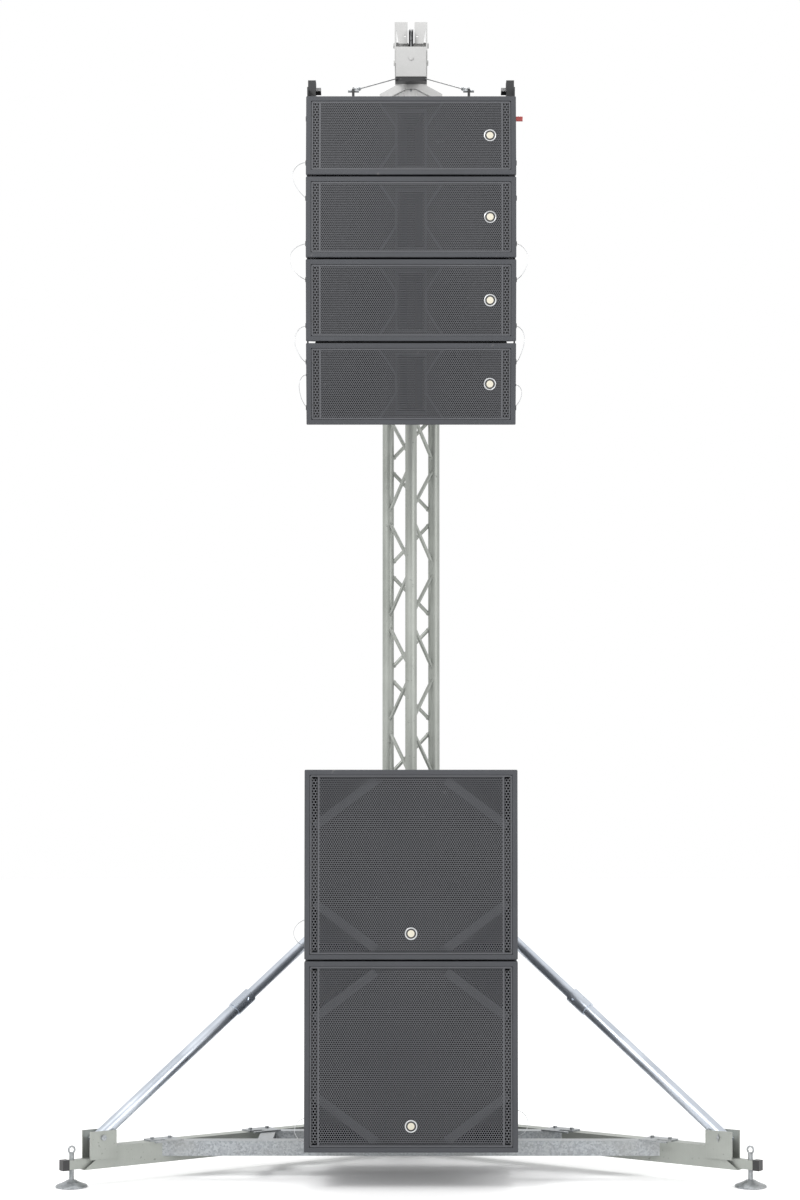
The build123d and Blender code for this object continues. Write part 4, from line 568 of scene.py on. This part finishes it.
front_y, rear_y = ROPE_FRONT + MAST_Y, ROPE_REAR + MAST_Y
front_axle, rear_axle = front_y + SHEAVE_PITCH, rear_y - SHEAVE_PITCH
top = SHEAVE_Z + SHEAVE_PITCH
fall_from, fall_to = (0, front_y, SHEAVE_Z), (0, front_y, YOKE_TOP)
hoist = np.concatenate([
    straight((0, rear_y, WINCH_Z), (0, rear_y, SHEAVE_Z)),
    quarter(rear_axle, 0),
    straight((0, rear_axle, top), (0, front_axle, top)),
    quarter(front_axle, math.pi / 2),
    [fall_from],
])
rope = laid_rope("hoist_rope_strands", [hoist], ROPE_R, "base", ROPE_LAY)
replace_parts(rope, "hoist_rope")
fall = laid_rope("hoist_rope_front_strands", [straight(fall_from, fall_to)], ROPE_R, None,
                 ROPE_LAY)
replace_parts(fall, "hoist_rope_front")
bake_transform(fall)

# Bridle: from the yoke's eye to just short of the ring above the shackle, on either side.
shackle_pin = np.array([0.235, -0.757417 + MAST_Y, 4.392])
yoke_eye = np.array([0.062, -0.208 + MAST_Y, 4.616])
up = (yoke_eye - shackle_pin) * [0, 1, 1]
shackle_ring = shackle_pin + up / np.linalg.norm(up) * 0.035
lean = (yoke_eye - shackle_ring) / np.linalg.norm(yoke_eye - shackle_ring)
bridle = [straight(yoke_eye * side, (shackle_ring + lean * 0.015) * side, 0.004)
          for side in (np.array([-1, 1, 1]), np.array([1, 1, 1]))]
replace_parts(laid_rope("bridle_strands", bridle, BRIDLE_R, "array_top", BRIDLE_LAY, 18),
            "bridle_ropes")

# Turns of rope wound on the drum: a helix about the drum's axle.
angle = np.linspace(-math.pi / 2, 2 * math.pi * TURNS, 9 * 28)
wound = np.stack([-0.034 + TURN_PITCH * angle / (2 * math.pi),
                  DRUM_Y + MAST_Y + TURN_R * np.cos(angle),
                  WINCH_Z + TURN_R * np.sin(angle)], axis=1)
laid_rope("drum_turns", [wound], ROPE_R - 0.0001, "winch_drum", ROPE_LAY)


# ---------------------------------------------------------------- grilles
def hex_field(x0, x1, z0, z1, pitch, open_share, y0, y1):
    """Sheet of hexagon cells whose centres lie from x0 to x1, each with a hexagon hole. Centres
    stand at (pitch * (i + j / 2), pitch * 0.866 * j); a cell's corners lie pitch / 1.732 from
    its centre, and its hole's corners lie open_share of that. Front at y0, back at y1."""
    rise = pitch * math.sqrt(3) / 2
    i, j = np.meshgrid(np.arange(-200, 200), np.arange(-200, 200), indexing="ij")
    cx = (pitch * (i + (j % 2) / 2)).ravel()
    cz = (rise * j).ravel() + (z0 + z1) / 2
    reach = pitch / math.sqrt(3)
    keep = (cx >= x0) & (cx < x1) & (cz - reach > z0) & (cz + reach < z1)
    centres = np.stack([cx[keep], cz[keep]], axis=1)
    angle = np.radians(np.arange(6) * 60 + 30)
    spoke = np.stack([np.cos(angle), np.sin(angle)], axis=1) * reach
    rim = (centres[:, None, :] + spoke[None]).reshape(-1, 2)
    hole = (centres[:, None, :] + spoke[None] * open_share).reshape(-1, 2)
    _, first, shared = np.unique(np.round(rim * 1e6).astype(np.int64), axis=0,
                                 return_index=True, return_inverse=True)
    corners, shared = rim[first], shared.reshape(-1, 6)
    n, m = len(corners), len(hole)
    inner = np.arange(m).reshape(-1, 6)
    front_r, back_r = shared, shared + n
    front_h, back_h = inner + 2 * n, inner + 2 * n + m
    rings = [(front_r, front_h), (back_h, back_r), (front_h, back_h)]
    faces = [np.stack([outer, np.roll(outer, -1, axis=1), np.roll(within, -1, axis=1), within],
                      axis=2).reshape(-1, 4) for outer, within in rings]
    sides = np.stack([front_r, np.roll(front_r, -1, axis=1)], axis=2).reshape(-1, 2)
    _, seen, count = np.unique(np.sort(sides, axis=1), axis=0, return_index=True,
                               return_counts=True)
    edge = sides[seen[count == 1]]
    faces.append(np.stack([edge[:, 1], edge[:, 0], edge[:, 0] + n, edge[:, 1] + n], axis=1))
    flat = np.concatenate([corners, corners, hole, hole])
    depth = np.concatenate([np.full(n, y0), np.full(n, y1), np.full(m, y0), np.full(m, y1)])
    points = np.stack([flat[:, 0], depth, flat[:, 1]], axis=1)
    return points, np.concatenate(faces).tolist()


def round_loop(x0, x1, z0, z1, radius, each=5):
    """Rectangle with round corners, counter-clockwise from the low right corner."""
    quarter_turn = np.linspace(0, math.pi / 2, each)
    loops = []
    for k, (cx, cz) in enumerate([(x1, z0), (x1, z1), (x0, z1), (x0, z0)]):
        a = quarter_turn + (k - 1) * math.pi / 2
        sx, sz = (-1 if cx == x1 else 1), (-1 if cz == z1 else 1)
        loops.append(np.stack([cx + sx * radius + radius * np.cos(a),
                               cz + sz * radius + radius * np.sin(a)], axis=1))
    return np.concatenate(loops)


def edging(x0, x1, z0, z1, wide, y_front, y_back, corner=0.006):
    """Folded edge round a rectangle: each point of its section (inset, depth) runs round the
    rectangle at its own inset, with the corner's radius less that inset."""
    soft = 0.0006
    section = [(0, y_back), (0, y_front + soft), (soft, y_front), (wide - soft, y_front),
               (wide, y_front + soft), (wide, y_back)]
    rows = []
    for inset, depth in section:
        loop = round_loop(x0 + inset, x1 - inset, z0 + inset, z1 - inset,
                          max(corner - inset, 0.0005))
        rows.append(np.stack([loop[:, 0], np.full(len(loop), depth), loop[:, 1]], axis=1))
    columns = len(rows[0])
    return np.concatenate(rows), grid_faces(len(rows), columns, loop_rows=True).tolist()


def bar(x0, x1, z0, z1, y0, y1):
    """Flat strip with six faces."""
    xs, ys, zs = (x0, x1), (y0, y1), (z0, z1)
    points = [(x, y, z) for x in xs for y in ys for z in zs]
    return points, [[0, 1, 3, 2], [4, 6, 7, 5], [0, 4, 5, 1], [2, 3, 7, 6], [0, 2, 6, 4],
                    [1, 5, 7, 3]]


def slab(outline, y0=FOAM_FROM, y1=FOAM_TO):
    """Flat panel: an outline (x, z), counter-clockwise seen from -Y, from a depth y0 to y1."""
    n = len(outline)
    points = [(x, y0, z) for x, z in outline] + [(x, y1, z) for x, z in outline]
    faces = [list(range(n)), list(range(n, 2 * n))[::-1]]
    faces += [[(k + 1) % n, k, k + n, (k + 1) % n + n] for k in range(n)]
    return points, faces


def behind_array_grille():
    """Foam over both woofers, cut to the waist of the waveguide, and the edges it leaves."""
    low, high, middle = -BOX_HIGH + EDGE + 0.004, -EDGE - 0.004, -BOX_HIGH / 2
    waist = [(0.129, low), (0.064, middle - 0.034), (0.064, middle + 0.034), (0.129, high)]
    right = [waist[0], (0.390, low), (0.390, high)] + waist[:0:-1]
    left = [(-x, z) for x, z in right[::-1]]
    foam = [slab(outline) for outline in (right, left)]
    lips = []
    for side in (-1, 1):
        for (xa, za), (xb, zb) in zip(waist, waist[1:]):
            strip = [(xa - 0.009, za), (xa, za), (xb, zb), (xb - 0.009, zb)]
            strip = [(side * x, z) for x, z in strip]
            lips.append(slab(strip if side > 0 else strip[::-1], FOAM_FROM + 0.001))
    return gathered(foam), gathered(lips)


def behind_sub_grille():
    """Foam octagon over the woofer and the four slanted bars between it and the ports."""
    middle = SUB_HIGH / 2
    octagon = [(0.390, -0.115), (0.390, 0.115), (0.099, 0.334), (-0.099, 0.334),
               (-0.390, 0.115), (-0.390, -0.115), (-0.099, -0.334), (0.099, -0.334)]
    foam = slab([(x, z + middle) for x, z in octagon])
    bars = []
    for sx in (-1, 1):
        for sz in (-1, 1):
            bar_loop = [(0.385, 0.162), (0.150, 0.339), (0.127, 0.315), (0.366, 0.135)]
            bar_loop = [(sx * x, middle + sz * z) for x, z in bar_loop]
            bars.append(slab(bar_loop if sx * sz > 0 else bar_loop[::-1], FOAM_FROM + 0.0005,
                             FOAM_TO + 0.001))
    return foam, gathered(bars)


def screw_heads(places, y, radius=0.0045, height=0.0015):
    """Button heads with a hollow in the middle, facing -Y."""
    r, h = radius, height
    profile = [(r, 0), (r, 0.4 * h), (0.8 * r, 0.85 * h), (0.5 * r, h), (0.42 * r, h),
               (0.40 * r, 0.35 * h)]
    return [turned(profile, (x, y, z), (0, -1, 0), 12) for x, z in places]


def badge(name, centre, put_on):
    """Domed cream centre in a dark dish in a bright ring, each a profile (radius, height) spun
    about the badge's axis."""
    r = 0.0245
    rim = [(0.80 * r, 0), (r, 0), (r, 0.0018), (0.96 * r, 0.0028), (0.86 * r, 0.0028),
           (0.80 * r, 0.0020)]
    points, _ = turned(rim, centre, (0, -1, 0), 48)
    put_on(f"{name}_badge_ring", points, grid_faces(6, 48, loop_rows=True).tolist(), BADGE_RING)
    points, faces = turned([(0.81 * r, 0), (0.81 * r, 0.0012)], centre, (0, -1, 0), 48)
    put_on(f"{name}_badge_dish", points, faces, FINISHES["black_plastic"], False)
    crown = [(0.56 * r, 0.0008), (0.56 * r, 0.0017), (0.50 * r, 0.0022), (0.28 * r, 0.0027),
             (0.08 * r, 0.0028)]
    points, faces = turned(crown, centre, (0, -1, 0), 40)
    put_on(f"{name}_badge_centre", points, faces, BADGE_CREAM)


def fitted_grille(name, high, z0, pitch, place, body, node, badge_at, halves, screw_levels):
    """Perforated sheet, its folded edge, upright strips of wider holes, screws and badge, in
    place of the part's own grille, and the foam and ribs behind them."""
    def put_on(title, points, faces, finish=None, smooth=True):
        """A piece of this grille, placed on its cabinet."""
        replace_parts(piece(title, place(points), faces, body, "grille_paint", finish, smooth), node)

    half = BOX_WIDE / 2 - EDGE
    low, top_z = z0 + EDGE, z0 + high - EDGE
    strip, fold, stand, screw_in = 0.034, 0.003, 0.0035, 0.008
    inner = half - strip
    spans = [(-inner, 0.0), (0.0, inner)] if halves else [(-inner, inner)]
    for number, (x0, x1) in enumerate(spans):
        points, faces = hex_field(x0, x1, low + fold, top_z - fold, pitch, 0.72, SHEET_FROM,
                                  SHEET_TO)
        put_on(f"{name}_mesh_{number + 1}", points, faces, smooth=False)
    sides = [(-half + screw_in, -inner - 0.006), (inner + 0.006, half - screw_in)]
    wide_holes = [hex_field(x0, x1, low + fold, top_z - fold, 0.0122, 0.70, SHEET_FROM, SHEET_TO)
                  for x0, x1 in sides]
    back = SHEET_TO + 0.0001
    uprights = [bar(x - stand, x + stand, low + 2 * fold, top_z - 2 * fold, GRILLE_FACE, back)
                for x in (-inner, inner)]
    edge = edging(-half, half, low, top_z, 2 * stand, GRILLE_FACE, back)
    put_on(f"{name}_edging", *gathered([*wide_holes, edge, *uprights]), smooth=False)
    places = [(side * (half - screw_in), z) for side in (-1, 1) for z in screw_levels]
    put_on(f"{name}_screws", *gathered(screw_heads(places, GRILLE_FACE)), SCREW_STEEL)
    badge(name, (badge_at[0], GRILLE_FACE, badge_at[1]), put_on)
    foam, ribs = behind_sub_grille() if halves else behind_array_grille()
    piece(f"{name}_foam", place(foam[0]), foam[1], body, "black_plastic", FOAM, smooth=False)
    piece(f"{name}_ribs", place(ribs[0]), ribs[1], body, "cabinet_paint", smooth=False)


BOX_BODIES = ["array_top", "box_2", "box_3", "box_4"]
for index, body_name in enumerate(BOX_BODIES):
    fitted_grille(f"box_{index + 1}_front", BOX_HIGH, -BOX_HIGH, 0.0080,
                  lambda p, index=index: in_box(p, index), body_name, f"box_{index + 1}_grille",
                  (0.312, -BOX_HIGH / 2), False, [-BOX_HIGH / 2 - 0.082, -BOX_HIGH / 2 + 0.082])
levels = [EDGE + 0.015 + (SUB_HIGH - 2 * EDGE - 0.030) * k / 4 for k in range(5)]
for name in SUB_FEET:
    fitted_grille(f"sub_{name}_front", SUB_HIGH, 0.0, 0.0092, lambda p, name=name: in_sub(p, name),
                  "base", f"sub_{name}_grille", (0.0, 0.101), True, levels)


def skid(y0, high):
    """Rubber strip on a cabinet's sloping top, z = -y * tan(taper): the outline in (y, z) has
    two rounded shoulders, z = high - shoulder * (1 - sin a), and is drawn out along X."""
    half, y1, shoulder, sunk = 0.380, y0 + 0.024, 0.0025, 0.0005
    a = np.linspace(0, math.pi / 2, 5)
    front = np.stack([y0 + shoulder * (1 - np.cos(a)), high - shoulder * (1 - np.sin(a))], 1)
    rear = np.stack([y1 - shoulder * (1 - np.cos(a)), front[:, 1]], 1)[::-1]
    outline = np.concatenate([[(y0, -sunk)], front, rear, [(y1, -sunk)]])
    outline[:, 1] -= outline[:, 0] * math.tan(BOX_TAPER)
    count = len(outline)
    ends = [np.column_stack([np.full(count, x), outline]) for x in (-half, half)]
    faces = grid_faces(2, count)[:, ::-1].tolist()
    faces += [list(range(count)), list(range(count, 2 * count))[::-1]]
    return np.concatenate(ends), faces


# A strip on the top of each lower cabinet, and a thinner one behind it under the cabinet above.
for index in range(1, 4):
    points, faces = skid(0.043, 0.0085)
    piece(f"box_{index + 1}_skid", in_box(points, index), faces, BOX_BODIES[index],
          "black_plastic", smooth=False)
    points, faces = skid(0.080, 0.0065)
    points[:, 2] = -BOX_HIGH - points[:, 2]
    piece(f"box_{index}_under_skid", in_box(points, index - 1), [loop[::-1] for loop in faces],
          BOX_BODIES[index - 1], "black_plastic", smooth=False)


# ---------------------------------------------------------------- screw jacks
def threaded(radius, depth, pitch, z0, z1, centre, sides=20):
    """Screw: at height z and angle a the radius is radius less depth times the distance of
    z / pitch - a / 2 pi from a whole number, doubled."""
    rows = int((z1 - z0) / (pitch / 6)) + 1
    z, a = np.meshgrid(np.linspace(z0, z1, rows), round_angles(sides), indexing="ij")
    phase = z / pitch - a / (2 * math.pi)
    r = radius - depth * 2 * np.abs(phase - np.round(phase))
    points = np.stack([centre[0] + r * np.cos(a), centre[1] + r * np.sin(a), z], axis=2)
    return points.reshape(-1, 3), capped(rows, sides)


for side_name, degrees in LEG_ANGLES.items():
    out = np.array([math.cos(math.radians(degrees)), math.sin(math.radians(degrees)), 0.0])
    cx, cy = out[0] * FOOT_REACH, out[1] * FOOT_REACH + MAST_Y
    foot = turned([(0.0600, 0), (0.0625, 0.0015), (0.0625, 0.0055), (0.0612, 0.0072),
                   (0.0565, 0.0100), (0.0450, 0.0142), (0.0340, 0.0190), (0.0240, 0.0240),
                   (0.0190, 0.0276), (0.0175, 0.0280), (0.0108, 0.0280), (0.0108, 0.0130)],
                  (cx, cy, 0), (0, 0, 1), 56)
    screw = threaded(0.0100, 0.0011, 0.004, 0.0135, 0.131, (cx, cy))
    handle = ring((cx, cy, 0.145), out, ALONG_Z, 0.013, 0.004, 40, 14)
    points, faces = gathered([foot, screw, handle])
    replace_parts(piece(f"jack_{side_name}_turned", points, faces, f"jack_{side_name}",
                      "zinc_steel"), f"jack_{side_name}")


# ---------------------------------------------------------------- weld beads on the mast
circle = CHORD_APART / math.sqrt(3)
FRONT, RIGHT, LEFT = (0.0, -circle), (CHORD_APART / 2, circle / 2), (-CHORD_APART / 2, circle / 2)


def bead(centre, along, radius):
    """Ripple of weld round a bar's end: a ring whose thickness swells 14 times round it."""
    _, first, second = square_to(along, ALONG_Z, ALONG_X)
    return ring(centre, first, second, radius, lambda a: 0.0026 + 0.0005 * np.cos(14 * a), 28, 6)


def bar_beads(start, end, radius=0.0078):
    """Beads where a lacing bar meets the two chords."""
    start, end = np.array(start, float), np.array(end, float)
    along = (end - start) / np.linalg.norm(end - start)
    level = math.hypot(along[0], along[1])
    gap = (CHORD_R + 0.001) / level
    return [bead(start + along * gap, along, radius), bead(end - along * gap, along, radius)]


beads = []
clear, drop = LEVEL_BAR + 0.016, 0.009
for low_z, high_z in zip(MAST_LEVELS, MAST_LEVELS[1:]):
    first_step = math.ceil((low_z + clear) / HALF_PITCH)
    last_step = math.floor((high_z - clear) / HALF_PITCH)
    for even, odd in ((LEFT, FRONT), (FRONT, RIGHT), (RIGHT, LEFT)):
        for count in range(first_step, last_step):
            a, b = (even, odd) if count % 2 == 0 else (odd, even)
            beads += bar_beads((*a, count * HALF_PITCH + drop),
                               (*b, (count + 1) * HALF_PITCH - drop))
        for z in (low_z + LEVEL_BAR, high_z - LEVEL_BAR):
            beads += bar_beads((*even, z), (*odd, z))
points, faces = gathered(beads)
points[:, 1] += MAST_Y
piece("mast_weld_beads", points, faces, "base", "aluminium")


# ---------------------------------------------------------------- floor and light
floor_mesh = bpy.data.meshes.new("floor")
wide = np.linspace(-1, 1, 3) * 30
x, y = np.meshgrid(wide, wide, indexing="ij")
floor_mesh.from_pydata(np.stack([x.ravel(), y.ravel(), 0 * x.ravel() - 0.0005], axis=1), [],
                       grid_faces(3, 3, loop_columns=False)[:, ::-1])
floor = bpy.data.objects.new("floor", floor_mesh)
bpy.context.collection.objects.link(floor)
floor_paint, tree, shader = new_finish("pale floor", 0.0)
join(tree, shader, mixed(tree, cloud(tree, 0.6), (0.90, 0.90, 0.90, 1), (0.93, 0.93, 0.93, 1)),
     span(tree, cloud(tree, 3.0), 0, 1, 0.75, 0.85), raised(tree, cloud(tree, 200.0), 0.00002))
shader.inputs["Emission Color"].default_value = (1, 1, 1, 1)
shader.inputs["Emission Strength"].default_value = 0.10
floor_mesh.materials.append(floor_paint)


def soft_light(name, place, aim, size, power):
    """Square softbox that looks at a point."""
    data = bpy.data.lights.new(name, "AREA")
    data.shape = "SQUARE"
    data.size = size
    data.energy = power
    lamp = bpy.data.objects.new(name, data)
    reach = np.array(aim, float) - np.array(place, float)
    flat = math.hypot(reach[0], reach[1])
    lamp.location = place
    lamp.rotation_euler = (math.atan2(flat, -reach[2]), 0, math.atan2(-reach[0], reach[1]))
    bpy.context.collection.objects.link(lamp)


soft_light("key", (-5.0, -8.0, 8.5), (0, -1, 2.2), 4.0, 620.0)
soft_light("fill", (6.5, -7.0, 4.0), (0, -1, 2.2), 4.5, 200.0)
soft_light("top", (0.5, 3.5, 9.0), (0, -0.5, 2.5), 4.0, 300.0)
world = bpy.data.worlds.new("studio")
world.use_nodes = True
world.node_tree.nodes["Background"].inputs["Color"].default_value = (1, 1, 1, 1)
world.node_tree.nodes["Background"].inputs["Strength"].default_value = 1.0
bpy.context.scene.world = world
bpy.context.scene.view_settings.view_transform = "Standard"
